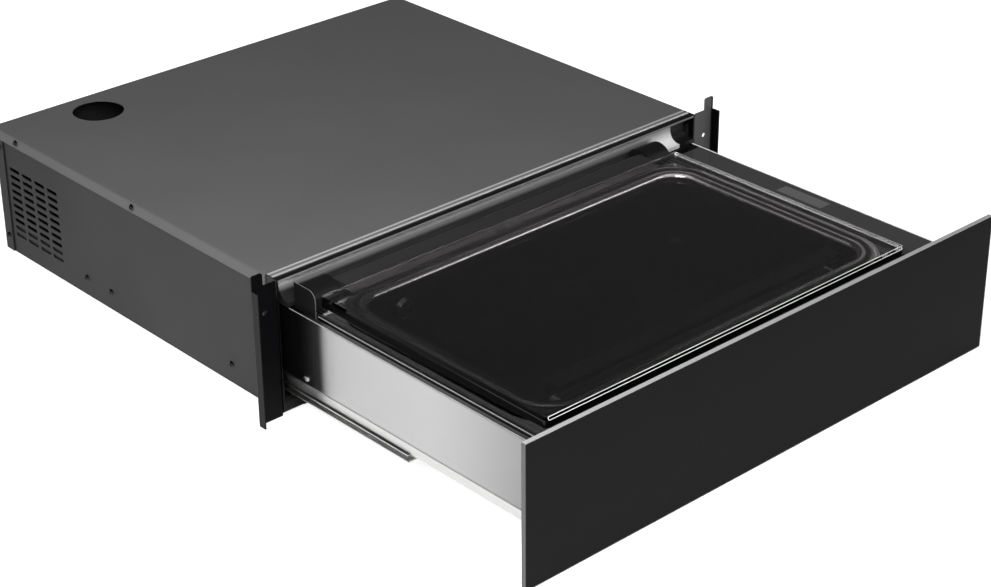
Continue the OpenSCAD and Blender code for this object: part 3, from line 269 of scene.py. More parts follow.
@dataclass(frozen=True)
class Zone:
    """A stretch along one axis over which a finish goes from its own colour to another: painted
    light and shade.
    """

    axis: Axis
    start: float
    end: float
    colour: Colour
    spread: float = 0.08

    def tint(self, kit: ShaderKit, base: Wire, tone: Wire) -> Wire:
        """Lays the zone over a colour.

        Args:
            base: The colour so far.
            tone: The shifts of tone, 0 to 1.

        Returns:
            The colour with the zone laid over it.
        """
        mask = kit.axis(self.axis.value).ramp(self.start, self.end)
        return kit.blend(mask, base, kit.toned(tone, self.colour, self.spread))


@dataclass(frozen=True)
class PowderCoat(Finish):
    """Satin powder coat on steel sheet: fine orange peel and slow shifts of tone."""

    colour: Colour
    roughness: float = 0.42
    specular: float = 0.5
    zones: tuple[Zone, ...] = ()
    spread: float = 0.07
    shifts: float = 9.0
    peel: float = 900.0
    peel_strength: float = 0.25
    peel_depth: float = 0.00004

    def build(self, kit: ShaderKit) -> None:
        tone = kit.noise((self.shifts,) * 3, 3.0)
        peel = kit.noise((self.peel,) * 3, 2.0)
        base = kit.toned(tone, self.colour, self.spread)
        for zone in self.zones:
            base = zone.tint(kit, base, tone)
        kit.surface({
            "Base Color": base,
            "Roughness": tone.ramp(*MIDDLE, self.roughness - 0.03, self.roughness + 0.04),
            "Specular IOR Level": self.specular,
            "Normal": kit.bump(peel, self.peel_strength, self.peel_depth),
        })


@dataclass(frozen=True)
class BrushedSteel(Finish):
    """Metal brushed along one axis: fine lines over wider bands."""

    colour: Colour
    grain: Axis = Axis.Y
    roughness: float = 0.3
    metallic: float = 1.0
    contrast: float = 0.1
    zones: tuple[Zone, ...] = ()
    fine: float = 2600.0
    band_width: float = 9.0
    lines_along: float = 14.0
    bands_along: float = 3.0
    line_share: float = 0.7
    strength: float = 0.3
    depth: float = 0.000004

    def build(self, kit: ShaderKit) -> None:
        along = [self.fine] * 3
        along[self.grain.value] = self.lines_along
        lines = kit.noise(tuple(along), 2.0, 0.6)
        wide = [self.fine / self.band_width] * 3
        wide[self.grain.value] = self.bands_along
        bands = kit.noise(tuple(wide), 2.0)
        mixed = lines * self.line_share + bands * (1.0 - self.line_share)
        base = kit.toned(mixed, self.colour, self.contrast)
        for zone in self.zones:
            base = zone.tint(kit, base, mixed)
        kit.surface({
            "Base Color": base,
            "Metallic": self.metallic,
            "Roughness": mixed.ramp(*MIDDLE, self.roughness - 0.03, self.roughness + 0.05),
            "Normal": kit.bump(mixed, self.strength, self.depth),
        })


@dataclass(frozen=True)
class PressedSteel(Finish):
    """Deep drawn stainless: a ground rim with a polished roll, and walls painted near black as
    shade.

    The rim is painted brightest at its right end, a painted highlight, and painted shade fades it
    away towards the front of its left end; at the right end painted shade darkens the roll towards
    the front.
    Places are metres in the frame; roll_start is millimetres from the corners' centres.
    """

    rim: Colour
    wall: Colour
    rim_height: Pair
    roll_start: float = 30.0
    roll_ease: float = 1.0
    fade: Pair = (-0.46, -0.12)
    fade_slant: float = 0.6
    right_end: Pair = (0.10, 0.20)
    painted_light_height: Pair = (0.094, 0.113)
    roll_shade_front: Pair = (-0.12, -0.17)
    painted_light_share: float = 0.08
    rim_share: float = 0.33
    roll_shade_share: float = 0.35
    clouds: float = 22.0
    cloud_share: float = 0.6
    cloud_depth: float = 0.3
    roughness: Pair = (0.20, 0.25)
    roll_polish: float = 0.1
    rim_metallic: float = 0.6
    drawn_scale: Point = (240.0, 240.0, 16.0)
    drawn_share: float = 0.6
    drawn_depth: float = 0.000004
    spread: float = 0.15

    def build(self, kit: ShaderKit) -> None:
        # Painted shade: the rim fades out towards the front of its left end.
        fade = (kit.axis(0) + kit.axis(1) * self.fade_slant).ramp(*self.fade)
        rim = kit.axis(2).ramp(*self.rim_height) * fade
        across = kit.add("ShaderNodeAttribute", {"attribute_name": ACROSS}, output="Fac")
        roll = across.ramp(self.roll_start, self.roll_start - self.roll_ease) * rim
        drawn = kit.noise(self.drawn_scale, 2.0)
        cloud = kit.noise((self.clouds,) * 3, 3.0)
        # Painted light: the rim and the walls are made brighter at the right end.
        right = kit.axis(0).ramp(*self.right_end)
        # Painted highlight: the walls are made brighter high up at the right end.
        lit = kit.axis(2).ramp(*self.painted_light_height) * right
        streaks = drawn * self.drawn_share + cloud * (1.0 - self.drawn_share)
        # Painted shade: the walls' near-black colour stands for the shade in the deep tub.
        painted_shade_wall = kit.toned(streaks, self.wall, self.spread)
        wall = kit.blend(lit, painted_shade_wall, scaled(self.rim, self.painted_light_share))
        # Painted shade: the ground rim is darker away from its right end.
        ground = kit.blend(right, scaled(self.rim, self.rim_share), self.rim)
        # Painted shade: the roll is darker towards the front at its right end.
        painted_roll_shade = right * kit.axis(1).ramp(*self.roll_shade_front)
        edge = kit.blend(painted_roll_shade, self.rim, scaled(self.rim, self.roll_shade_share))
        clouded = kit.blend(cloud * self.cloud_depth, ground, scaled(self.rim, self.cloud_share))
        bright = kit.blend(roll, clouded, edge)
        kit.surface({
            "Base Color": kit.blend(rim, wall, bright),
            "Metallic": (rim - roll).ramp(0.0, 1.0, 1.0, self.rim_metallic),
            "Roughness": cloud.ramp(*MIDDLE, *self.roughness) - roll * self.roll_polish,
            "Normal": kit.bump(drawn, 0.2, self.drawn_depth),
        })


@dataclass(frozen=True)
class PlatedSteel(Finish):
    """Zinc plated steel with its faint cloudy patches."""

    colour: Colour
    roughness: float = 0.34
    metallic: float = 1.0
    patches: Point = (60.0, 25.0, 60.0)
    grains: Point = (700.0, 120.0, 700.0)
    depth: float = 0.00002

    def build(self, kit: ShaderKit) -> None:
        cloud = kit.noise(self.patches, 3.0)
        fine = kit.noise(self.grains, 2.0)
        kit.surface({
            "Base Color": kit.blend(cloud, scaled(self.colour, 0.85), scaled(self.colour, 1.1)),
            "Metallic": self.metallic,
            "Roughness": cloud.ramp(*MIDDLE, self.roughness - 0.06, self.roughness + 0.1),
            "Normal": kit.bump(fine, 0.25, self.depth),
        })


@dataclass(frozen=True)
class Moulded(Finish):
    """Moulded plastic or rubber with a fine grain."""

    colour: Colour
    roughness: float = 0.45
    grain: float = 1800.0
    depth: float = 0.00003
    specular: float = 0.4
    shifts: float = 30.0
    spread: float = 0.15

    def build(self, kit: ShaderKit) -> None:
        grain = kit.noise((self.grain,) * 3, 2.0)
        tone = kit.noise((self.shifts,) * 3, 2.0)
        kit.surface({
            "Base Color": kit.toned(tone, self.colour, self.spread),
            "Roughness": tone.ramp(*MIDDLE, self.roughness - 0.04, self.roughness + 0.05),
            "Specular IOR Level": self.specular,
            "Normal": kit.bump(grain, 0.3, self.depth),
        })


@dataclass(frozen=True)
class Printed(Finish):
    """Opaque glass, printed on its back: a smooth face with a faint handling haze."""

    colour: Colour
    roughness: float = 0.08
    specular: float = 0.5
    haze: float = 14.0
    haze_roughness: float = 0.03
    spread: float = 0.06

    def build(self, kit: ShaderKit) -> None:
        haze = kit.noise((self.haze,) * 3, 4.0)
        kit.surface({
            "Base Color": kit.toned(haze, self.colour, self.spread),
            "Roughness": haze.ramp(0.3, 0.8, self.roughness, self.roughness + self.haze_roughness),
            "Specular IOR Level": self.specular,
        })


@dataclass(frozen=True)
class TintedGlass(Finish):
    """Clear toughened glass tinted in the mass, with a faint haze."""

    tint: Colour
    haze: float = 10.0
    roughness: Pair = (0.004, 0.016)
    spread: float = 0.04
    index: float = 1.5

    def build(self, kit: ShaderKit) -> None:
        haze = kit.noise((self.haze,) * 3, 3.0)
        kit.surface({
            "Base Color": kit.toned(haze, self.tint, self.spread),
            "Roughness": haze.ramp(0.4, 0.8, *self.roughness),
            "Transmission Weight": 1.0,
            "IOR": self.index,
        })


@dataclass(frozen=True)
class Board(Finish):
    """Solder mask over copper tracks."""

    colour: Colour
    cover: float = 0.52

    def build(self, kit: ShaderKit) -> None:
        tracks = kit.noise((260.0, 30.0, 260.0), 1.0) > self.cover
        kit.surface({
            "Base Color": kit.blend(tracks, self.colour, scaled(self.colour, 1.8)),
            "Roughness": tracks.ramp(0.0, 1.0, 0.4, 0.25),
        })


# The case's one paint: the top cover takes PAINT 2.2 times over and the sides take the darker
# SIDE_PAINT, painted light on the top and painted shade on the sides.
PAINT: Colour = grey(0.037)
SIDE_PAINT: Colour = grey(0.022)
STEEL: Colour = grey(0.47)
# BLACK is black paint made darker still as painted shade, for parts in the shade inside the case.
BLACK: Colour = grey(0.004)

# Which finish each CAD node that stays in view has. A zone's places are metres in the frame; the
# zones paint light and shade.
NODE_FINISHES: dict[Finish, tuple[str, ...]] = {
    # Painted shade: the sides go near black along their front edges and darker towards the rear.
    PowderCoat("case_coat", SIDE_PAINT, 0.42, 0.25, (
        Zone(Axis.Y, -0.050, -0.053, grey(0.002)),
        Zone(Axis.Y, 0.20, 0.42, scaled(SIDE_PAINT, 0.5)),
    )): ("left_side", "right_side", "rear_cover"),
    # Painted light: the top cover is the sides' paint made lighter.
    PowderCoat("cover_coat", scaled(PAINT, 2.2), 0.40, 0.5): ("top_cover",),
    # The brackets share one dark paint: the left one is a copy painted darker as shade, with a
    # painted highlight on its outer lip.
    PowderCoat("bracket_coat", (0.003, 0.003, 0.0035), 0.36, 0.05, (
        Zone(Axis.X, -0.2965, -0.2974, grey(0.018)),
    )): ("left_bracket",),
    # The right bracket is a copy of the same paint made lighter as painted light, with painted
    # shade on its outer lip.
    PowderCoat("bracket_coat_lit", (0.085, 0.085, 0.086), 0.40, 0.25, (
        Zone(Axis.X, 0.2930, 0.2950, grey(0.001)),
    )): ("right_bracket",),
    # Painted highlight: the crossbar's frontmost edge is light grey.
    PowderCoat("lip_coat", BLACK, 0.40, 0.15, (
        Zone(Axis.Y, -0.0584, -0.0587, grey(0.17)),
    )): ("front_crossbar",),
    # Black paint inside the case, made darker still as painted shade.
    PowderCoat("inner_coat", BLACK, 0.40, 0.15): (
        "panel_carrier", "motor_fan_cover", "base_pan", "fixed_rail_left", "fixed_rail_right",
    ),
    # Painted shade: the trim strip is darker below its top.
    BrushedSteel("trim_steel", grey(0.62), Axis.X, 0.28, 0.55, zones=(
        Zone(Axis.Z, 0.1401, 0.1397, grey(0.22)),
    )): ("trim_strip",),
    # Painted shade: the frame's left side is darker.
    BrushedSteel("edge_aluminium", grey(0.45), Axis.X, 0.35, 0.4, 0.05, (
        Zone(Axis.X, -0.2972, -0.2982, grey(0.10)),
    )): ("front_edge_frame",),
    PlatedSteel("runner_zinc", (0.66, 0.66, 0.65)): (
        "middle_rail_left", "middle_rail_right", "drawer_rail_left", "drawer_rail_right",
        "pump_plate", "hinge_blocks",
    ),
    PlatedSteel("pin_steel", grey(0.55), 0.28): ("hinge_pins",),
    PlatedSteel("port_steel", grey(0.05), 0.28): ("suction_fitting",),
    # Painted shade: the drawer walls darken towards the front, and close to the case's front edge
    # go near black, painted shade with a painted reflection of the dark case.
    BrushedSteel("wall_steel", STEEL, Axis.Z, 0.22, 0.9, 0.05, (
        Zone(Axis.Y, -0.24, -0.42, scaled(STEEL, 0.52)),
        Zone(Axis.Y, -0.113, -0.105, scaled(STEEL, 0.22)),
        Zone(Axis.Y, -0.105, -0.075, scaled(STEEL, 0.04)),
    )): (
        "drawer_wall_left", "drawer_wall_right", "drawer_floor", "drawer_back",
        "tray_support_left", "tray_support_right",
    ),
    BrushedSteel("tray_steel", grey(0.42), Axis.Y, 0.24, 1.0, 0.04): ("top_tray",),
    # The hood's stainless is painted dark as shade, with painted highlights in two bands near its
    # top and at its right end, and painted shade again at its very top under the crossbar.
    BrushedSteel("hood_steel", (0.014, 0.014, 0.0145), Axis.X, 0.5, 0.2, 0.04, (
        Zone(Axis.Z, 0.1222, 0.1280, grey(0.36)),
        Zone(Axis.Z, 0.1270, 0.1295, grey(0.92)),
        Zone(Axis.X, 0.206, 0.218, grey(0.75)),
        Zone(Axis.Z, 0.1320, 0.1350, grey(0.05)),
    )): ("rear_hood",),
    Moulded("foot_rubber", grey(0.02), 0.7): (
        "feet", "cable_gland", "pump_mounts", "vacuum_hose",
    ),
    Printed("panel_glass", (0.0052, 0.0054, 0.0051), 0.16, 0.06): ("front_glass",),
    Printed("control_glass_black", (0.040, 0.040, 0.041), 0.08, 0.4): ("control_glass",),
    Printed("display_grey", (0.090, 0.090, 0.089), 0.10, 0.4): ("display_window",),
    Moulded("housing_black", grey(0.006), 0.42, specular=0.25): (
        "control_housing", "hinge_cap_left", "hinge_cap_right", "rod_sleeves",
    ),
    Moulded("bar_grey", grey(0.006), 0.5, specular=0.05): ("counter_bar",),
    Moulded("latch_plastic", grey(0.30), 0.45): ("push_latch", "latch_plunger"),
    # The guard plate's one coat is black on its left face and grey on the rest: painted shade and
    # painted light.
    PowderCoat("guard_coat", grey(0.006), 0.3, 0.3, (
        Zone(Axis.X, -0.25535, -0.25525, grey(0.10)),
    )): ("guard_plate",),
    # The hinge bar's dark coat stays on its top and rear; its front face and lower step are made
    # lighter, painted light that stands in for light the glass keeps off.
    PowderCoat("hinge_coat", (0.115, 0.107, 0.110), 0.3, 0.3, (
        Zone(Axis.Z, 0.1183, 0.1190, (0.52, 0.49, 0.50)),
        Zone(Axis.Z, 0.1266, 0.1272, grey(0.020)),
        Zone(Axis.Y, -0.0884, -0.0880, grey(0.020)),
    )): ("hinge_bar",),
    PlatedSteel("cast_aluminium", (0.62, 0.63, 0.64), 0.45): (
        "pump_head", "sealing_bar", "motor_fan",
    ),
    PowderCoat("motor_coat", (0.014, 0.014, 0.016), 0.4): ("pump_motor",),
    PlatedSteel("valve_brass", (0.65, 0.48, 0.22), 0.35): ("vacuum_valve",),
    PowderCoat("winding_varnish", (0.22, 0.10, 0.04), 0.35): ("transformer",),
    Board("board_mask", (0.01, 0.06, 0.03)): ("power_board",),
    Moulded("band_cloth", (0.024, 0.017, 0.012), 0.5, 2400.0): ("heating_band",),
    Moulded("strip_silicone", (0.060, 0.018, 0.012), 0.5): ("counter_strip",),
}
LID_GLASS = TintedGlass("lid_tint", (0.55, 0.54, 0.54))
LID_SIDE = Printed("lid_side", grey(0.002), 0.08, 0.2)
# Bright lines along glass and sheet edges, drawn as thin metal tubes: painted highlights where the
# edges glint.
LID_EDGE = PlatedSteel("painted_glint_edge", grey(0.86), 0.3, 0.2)
# The chamber's wall colour, grey(0.003), is painted shade; PressedSteel lays painted light and
# shade over its rim colour.
CHAMBER_STEEL = PressedSteel("pressed_steel", (0.88, 0.85, 0.86), grey(0.003), (0.1115, 0.1145))
GASKET_SILICONE = Moulded("gasket_silicone", (0.02, 0.018, 0.018), 0.4)
EDGE_LINE = PlatedSteel("edge_line", grey(0.45), 0.3, 0.3)
SCREW_BLACK = PlatedSteel("screw_black", (0.06, 0.06, 0.062), 0.3)
SCREW_ZINC = PlatedSteel("screw_zinc", grey(0.6), 0.25)


# ---- mesh helpers


def new_object(
    name: str, mesh: bpy.types.Mesh, finish: Finish, smooth_deg: float = 35.0
) -> bpy.types.Object:
    """Makes a scene object from a mesh and shades it.

    Args:
        name: The object's name.
        mesh: Its mesh, in the frame's metres.
        finish: The finish of the whole piece.
        smooth_deg: Edges that turn by more than this stay sharp.

    Returns:
        The object, linked to the scene.
    """
    mesh.materials.clear()
    mesh.materials.append(finish.material())
    for polygon in mesh.polygons:
        polygon.use_smooth = True
    mesh.set_sharp_from_angle(angle=math.radians(smooth_deg))
    piece = bpy.data.objects.new(name, mesh)
    bpy.context.scene.collection.objects.link(piece)
    return piece


def fill_mesh(name: str, draw: Callable[[bmesh.types.BMesh], None]) -> bpy.types.Mesh:
    """Draws a mesh in bmesh, merges its doubles and turns its faces outwards."""
    shape = bmesh.new()
    draw(shape)
    bmesh.ops.remove_doubles(shape, verts=shape.verts, dist=1e-7)
    bmesh.ops.recalc_face_normals(shape, faces=shape.faces)
    mesh = bpy.data.meshes.new(name)
    shape.to_mesh(mesh)
    shape.free()
    return mesh


def arc(centre: Pair, radius: float, start: float, end: float, steps: int) -> list[Pair]:
    """Points of an arc, with its angles in degrees."""
    points = []
    for i in range(steps + 1):
        angle = math.radians(start + (end - start) * i / steps)
        points.append((centre[0] + radius * math.cos(angle), centre[1] + radius * math.sin(angle)))
    return points


@dataclass(frozen=True)
class RoundedRing:
    """A rounded rectangle that an outline is swept round.

    The outline's first number is the distance from the corners' centres, its second the height.
    """

    centre_x: float
    centre_y: float
    width: float
    depth: float
    corner: float
    steps: int

    def stations(self) -> Iterable[tuple[float, float, float, float]]:
        """The corner centre and outward direction of each station round the ring."""
        half_x = self.width / 2 - self.corner
        half_y = self.depth / 2 - self.corner
        for quarter, (sx, sy) in enumerate(((1, 1), (-1, 1), (-1, -1), (1, -1))):
            for i in range(self.steps + 1):
                angle = math.radians(90.0 * quarter + 90.0 * i / self.steps)
                centre = (self.centre_x + sx * half_x, self.centre_y + sy * half_y)
                yield (*centre, math.cos(angle), math.sin(angle))

    def sweep(
        self, shape: bmesh.types.BMesh, outline: Sequence[Pair]
    ) -> list[list[bmesh.types.BMVert]]:
        """Sweeps the open outline round the ring.

        Args:
            shape: The mesh to draw into.
            outline: Points of (distance, height).

        Returns:
            One list of vertices for each station.
        """
        across = shape.verts.layers.float.get(ACROSS) or shape.verts.layers.float.new(ACROSS)
        loops = []
        for cx, cy, dx, dy in self.stations():
            loop = []
            for r, z in outline:
                vert = shape.verts.new(place(cx + dx * r, cy + dy * r, z))
                vert[across] = r
                loop.append(vert)
            loops.append(loop)
        for i, loop in enumerate(loops):
            after = loops[(i + 1) % len(loops)]
            for j in range(len(outline) - 1):
                shape.faces.new((loop[j], loop[j + 1], after[j + 1], after[j]))
        return loops


# ---- geometry node kit


class GeometryKit:
    """Builds a Geometry Nodes tree that ends in Realize Instances and Set Material."""

    def __init__(self, name: str) -> None:
        """Starts a tree with a geometry input and output."""
        self.tree = bpy.data.node_groups.new(name, "GeometryNodeTree")
        self.identifiers: dict[str, str] = {}
        self._socket("Geometry", "NodeSocketGeometry", "INPUT")
        self._socket("Geometry", "NodeSocketGeometry", "OUTPUT")
        self.source = self.tree.nodes.new("NodeGroupInput")

    def _socket(self, name: str, kind: str, side: str) -> None:
        """Adds a socket to the tree's face."""
        item = self.tree.interface.new_socket(name=name, in_out=side, socket_type=kind)
        if side == "INPUT":
            self.identifiers[name] = item.identifier

    def value(self, name: str) -> bpy.types.NodeSocket:
        """Adds a named number input and returns its socket inside the tree."""
        self._socket(name, "NodeSocketFloat", "INPUT")
        return self.source.outputs[name]

    def add(self, kind: str, settings: Settings = None, values: Values = None) -> bpy.types.Node:
        """Adds a node with its settings, then the links or values of its sockets."""
        return new_node(self.tree, kind, settings, values)

    def tube(
        self, path: bpy.types.NodeSocket, radius: bpy.types.NodeSocket, sides: int
    ) -> bpy.types.NodeSocket:
        """Runs a round tube along a curve and closes its ends."""
        outline = self.add("GeometryNodeCurvePrimitiveCircle", None, {
            "Resolution": sides, "Radius": radius,
        })
        tube = self.add("GeometryNodeCurveToMesh", None, {
            "Curve": path, "Profile Curve": outline.outputs[0], "Fill Caps": True,
        })
        return tube.outputs[0]

    def run(
        self,
        result: bpy.types.NodeSocket,
        finish: Finish,
        base: bpy.types.Mesh,
        values: dict[str, object],
    ) -> bpy.types.Mesh:
        """Ends the tree and evaluates it once.

        Args:
            result: The geometry to keep.
            finish: The finish that Set Material gives it.
            base: The mesh that the tree works on.
            values: The named inputs.

        Returns:
            The plain mesh that the tree makes.
        """
        real = self.add("GeometryNodeRealizeInstances", None, {"Geometry": result})
        dressed = self.add("GeometryNodeSetMaterial", None, {
            "Geometry": real.outputs[0], "Material": finish.material(),
        })
        self.add("NodeGroupOutput", None, {0: dressed.outputs[0]})
        carrier = bpy.data.objects.new("carrier", base)
        bpy.context.scene.collection.objects.link(carrier)
        modifier = carrier.modifiers.new("nodes", "NODES")
        modifier.node_group = self.tree
        for name, value in values.items():
            modifier[self.identifiers[name]] = value
        evaluated = carrier.evaluated_get(bpy.context.evaluated_depsgraph_get())
        mesh = bpy.data.meshes.new_from_object(evaluated)
        carrier.modifiers.remove(modifier)
        bpy.data.objects.remove(carrier)
        return mesh


# ---- pieces


@dataclass
class ScrewSet:
    """Pan head screws with a cross recess, set on one body; a seat is a point and its aim."""

    name: str
    body: str
    node: str
    slot: str
    finish: Finish
    seats: list[tuple[Point, Point]]
    head_r: float = 3.4
    head_h: float = 2.0
    recess_w: float = 0.5
    recess_r: float = 2.1
    recess_d: float = 1.0
    dome: float = 2.6
    rings: int = 9
    sides: int = 32

    def head(self) -> bpy.types.Object:
        """One screw head about +Z, drawn as rings whose middle dips into the recess."""

        def draw(shape: bmesh.types.BMesh) -> None:
            """Draws the dome ring by ring and closes its underside."""
            loops = []
            for ring in range(self.rings + 1):
                share = 1.0 - ring / (self.rings + 1)
                radius = self.head_r * share
                height = self.head_h * math.sqrt(max(0.0, 1.0 - share**self.dome))
                loop = []
                for side in range(self.sides):
                    angle = math.tau * side / self.sides
                    x, y = radius * math.cos(angle), radius * math.sin(angle)
                    cross = min(abs(x), abs(y)) < self.recess_w and radius < self.recess_r
                    dip = self.recess_d if cross else 0.0
                    loop.append(shape.verts.new((x * MM, y * MM, (height - dip) * MM)))
                loops.append(loop)
            for low, high in zip(loops, loops[1:]):
                for side in range(self.sides):
                    after = (side + 1) % self.sides
                    shape.faces.new((low[side], low[after], high[after], high[side]))
            shape.faces.new(loops[0][::-1])
            shape.faces.new(loops[-1])

        name = f"{self.name}_head"
        return new_object(name, fill_mesh(name, draw), self.finish)

    def build(self) -> bpy.types.Object:
        """Sets a head on every seat through Geometry Nodes.

        Returns:
            The screws as one piece that stands for the CAD screws.
        """
        base = bpy.data.meshes.new("screw_seats")
        base.from_pydata([tuple(place(*seat)) for seat, _ in self.seats], [], [])
        aims = base.attributes.new("aim", "FLOAT_VECTOR", "POINT")
        for item, (_, aim) in zip(aims.data, self.seats):
            item.vector = aim
        head = self.head()
        kit = GeometryKit(f"{self.name}_tree")
        size = kit.value("Head size")
        vector = {"data_type": "FLOAT_VECTOR"}
        aim = kit.add("GeometryNodeInputNamedAttribute", vector, {"Name": "aim"})
        turn = kit.add("FunctionNodeAlignRotationToVector", {"axis": "Z"}, {
            "Vector": aim.outputs[0],
        })
        points = kit.add("GeometryNodeMeshToPoints", None, {
            "Mesh": kit.source.outputs["Geometry"],
        })
        stock = kit.add("GeometryNodeObjectInfo", None, {"Object": head})
        set_on = kit.add("GeometryNodeInstanceOnPoints", None, {
            "Points": points.outputs[0], "Instance": stock.outputs["Geometry"],
            "Rotation": turn.outputs[0], "Scale": size,
        })
        mesh = kit.run(set_on.outputs[0], self.finish, base, {"Head size": 1.0})
        bpy.data.objects.remove(head)
        piece = new_object(self.name, mesh, self.finish, 50.0)
        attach(piece, self.body)
        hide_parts(self.node)
        return piece


@dataclass
class CaseFasteners:
    """The screws of the case and of the drawer, the same on the left and on the right.

    Each row lists its seats: (y, z) on a side wall, and (x, z) on the front panel's flange.
    """

    cover_x: float = 270.5
    side_x: float = 269.3
    bracket_x: float = 270.8
    wall_x: float = 261.8
    cover: tuple[Pair, ...] = ((223.7, 131.0), (428.0, 131.0))
    rail: tuple[Pair, ...] = ((78.1, 19.6), (276.2, 19.6), (318.6, 19.6))
    rear: tuple[Pair, ...] = ((462.5, 115.5), (462.5, 16.0))
    bracket: tuple[Pair, ...] = ((11.0, 45.0), (11.0, 100.0))
    wall: tuple[Pair, ...] = ((-27.2, 46.0), (78.4, 46.0))
    panel: tuple[Pair, ...] = ((252.8, 62.0), (252.8, 90.0))
    flange_y: float = -346.4

    def rows(self) -> Iterable[tuple[float, tuple[Pair, ...]]]:
        """Each row of case screws with the height of its seat from the middle."""
        yield self.cover_x, self.cover
        yield self.side_x, self.rail
        yield self.cover_x, self.rear
        yield self.bracket_x, self.bracket

    def build(self) -> None:
        """Makes both sets of screws."""
        sides = (-1, 1)
        case = [
            ((s * x, y, z), (s, 0.0, 0.0)) for s in sides for x, row in self.rows() for y, z in row
        ]
        drawer = [((s * self.wall_x, y, z), (s, 0.0, 0.0)) for s in sides for y, z in self.wall]
        drawer += [
            ((s * x, self.flange_y, z), (0.0, 1.0, 0.0)) for s in sides for x, z in self.panel
        ]
        for name, body, node, slot, finish, seats in (
            ("case_screw_heads", "case", "case_screws", "screw_black", SCREW_BLACK, case),
            ("drawer_screw_heads", "drawer", "drawer_screws", "screw_steel", SCREW_ZINC, drawer),
        ):
            ScrewSet(name, body, node, slot, finish, seats).build()
            log.info("%s: %d screws", name, len(seats))


@dataclass
class Bead:
    """A round bead along a rounded rectangle, which may be tilted about X."""

    name: str
    finish: Finish
    centre: Vector
    width: float
    height: float
    corner: float
    radius: float
    bends: int
    sides: int
    tilt: float = 0.0

    def mesh(self) -> bpy.types.Mesh:
        """Runs the bead through Geometry Nodes.

        Returns:
            The bead as one mesh.
        """
        kit = GeometryKit(f"{self.name}_tree")
        width, height = kit.value("Width"), kit.value("Height")
        corner, radius = kit.value("Corner radius"), kit.value("Line radius")
        path = kit.add("GeometryNodeCurvePrimitiveQuadrilateral", None, {
            "Width": width, "Height": height,
        })
        rounded = kit.add("GeometryNodeFilletCurve", {"mode": "POLY"}, {
            "Curve": path.outputs[0], "Radius": corner, "Count": self.bends,
        })
        moved = kit.add("GeometryNodeTransform", None, {
            "Geometry": kit.tube(rounded.outputs[0], radius, self.sides),
            "Translation": self.centre, "Rotation": (self.tilt, 0.0, 0.0),
        })
        return kit.run(moved.outputs[0], self.finish, bpy.data.meshes.new(f"{self.name}_base"), {
            "Width": self.width * MM, "Height": self.height * MM,
            "Corner radius": self.corner * MM, "Line radius": self.radius * MM,
        })


@dataclass
class Chamber:
    """The pressed vacuum chamber with its sealing rim and gasket.

    Lengths across the rim are distances from the corners' centres.
    """

    ring: RoundedRing = RoundedRing(*LID_OUTLINE, 48.0, 24)
    sheet: float = 1.2
    foot: float = 45.6
    tray_z: float = 110.0
    rim_z: float = 113.0
    channel_outer: float = 38.0
    channel_inner: float = 33.0
    channel_z: float = 111.5
    channel_play: float = 0.1
    channel_ease: float = 0.5
    flange: float = 3.0
    step_in: float = 4.6
    step_top: float = 5.2
    step_ease: float = 0.25
    arc_steps: int = 10
    roll: float = 5.4
    wall: float = 24.0
    floor_z: float = 37.7
    fillet: float = 9.4
    seal_top: float = 114.7
    lip_share: float = 0.98

    def surface(self, drop: float) -> list[Pair]:
        """The chamber's top surface as (distance, height), or its underside.

        Args:
            drop: 0 for the top surface, 1 for the underside, a sheet's thickness below.

        Returns:
            Points from the foot of the rim in to the floor.
        """
        t, foot, ease = self.sheet * drop, self.foot, self.channel_ease
        top, low, foot_z = self.rim_z - t, self.channel_z - t, self.tray_z + self.sheet - t
        out_r = self.channel_outer + self.channel_play
        in_r = self.channel_inner - self.channel_play
        points = [(foot, foot_z), (foot - self.flange, foot_z)]
        points += [(foot - self.step_in, top - self.step_ease), (foot - self.step_top, top)]
        points += [(out_r + ease - t * 0.5, top), (out_r + t, top - ease), (out_r + t, low)]
        points += [(in_r - t, low), (in_r - t, top - ease), (in_r - ease - t * 0.5, top)]
        rolled = (self.wall + self.roll, self.rim_z - self.roll)
        points += arc(rolled, self.roll - t, 90, 180, self.arc_steps)
        filleted = (self.wall - self.fillet, self.floor_z + self.fillet)
        points += arc(filleted, self.fillet + t, 0, -90, self.arc_steps)
        return points

    def build_shell(self) -> bpy.types.Object:
        """Sweeps the sheet round the ring and closes the floor.

        Returns:
            The chamber as one closed shell.
        """

        def draw(shape: bmesh.types.BMesh) -> None:
            """Draws both surfaces, joins them at the rim's foot and lays their floors."""
            upper, lower = (self.ring.sweep(shape, self.surface(drop)) for drop in (0.0, 1.0))
            for i in range(len(upper)):
                j = (i + 1) % len(upper)
                shape.faces.new((lower[i][0], upper[i][0], upper[j][0], lower[j][0]))
            for loops in (upper, lower[::-1]):
                shape.faces.new([loop[-1] for loop in loops])

        piece = new_object("chamber_shell", fill_mesh("chamber_shell", draw), CHAMBER_STEEL)
        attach(piece, "drawer")
        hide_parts("chamber_tub")
        return piece

    def build_gasket(self) -> bpy.types.Object:
        """Runs the gasket's round lip along its channel.

        Returns:
            The gasket as one piece.
        """
        inset = self.ring.corner - (self.channel_outer + self.channel_inner) / 2
        half = (self.channel_outer - self.channel_inner) / 2
        bead = Bead(
            "gasket", GASKET_SILICONE,
            centre=place(self.ring.centre_x, self.ring.centre_y, self.seal_top - half),
            width=self.ring.width - 2 * inset, height=self.ring.depth - 2 * inset,
            corner=self.ring.corner - inset, radius=half * self.lip_share, bends=28, sides=20,
        )
        piece = new_object("chamber_gasket", bead.mesh(), GASKET_SILICONE, 60.0)
        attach(piece, "drawer")
        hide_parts("lid_seal")
        return piece

    def build(self) -> None:
        """Makes the chamber and its gasket."""
        for piece in (self.build_shell(), self.build_gasket()):
            log.info("%s: %d faces", piece.name, len(piece.data.polygons))


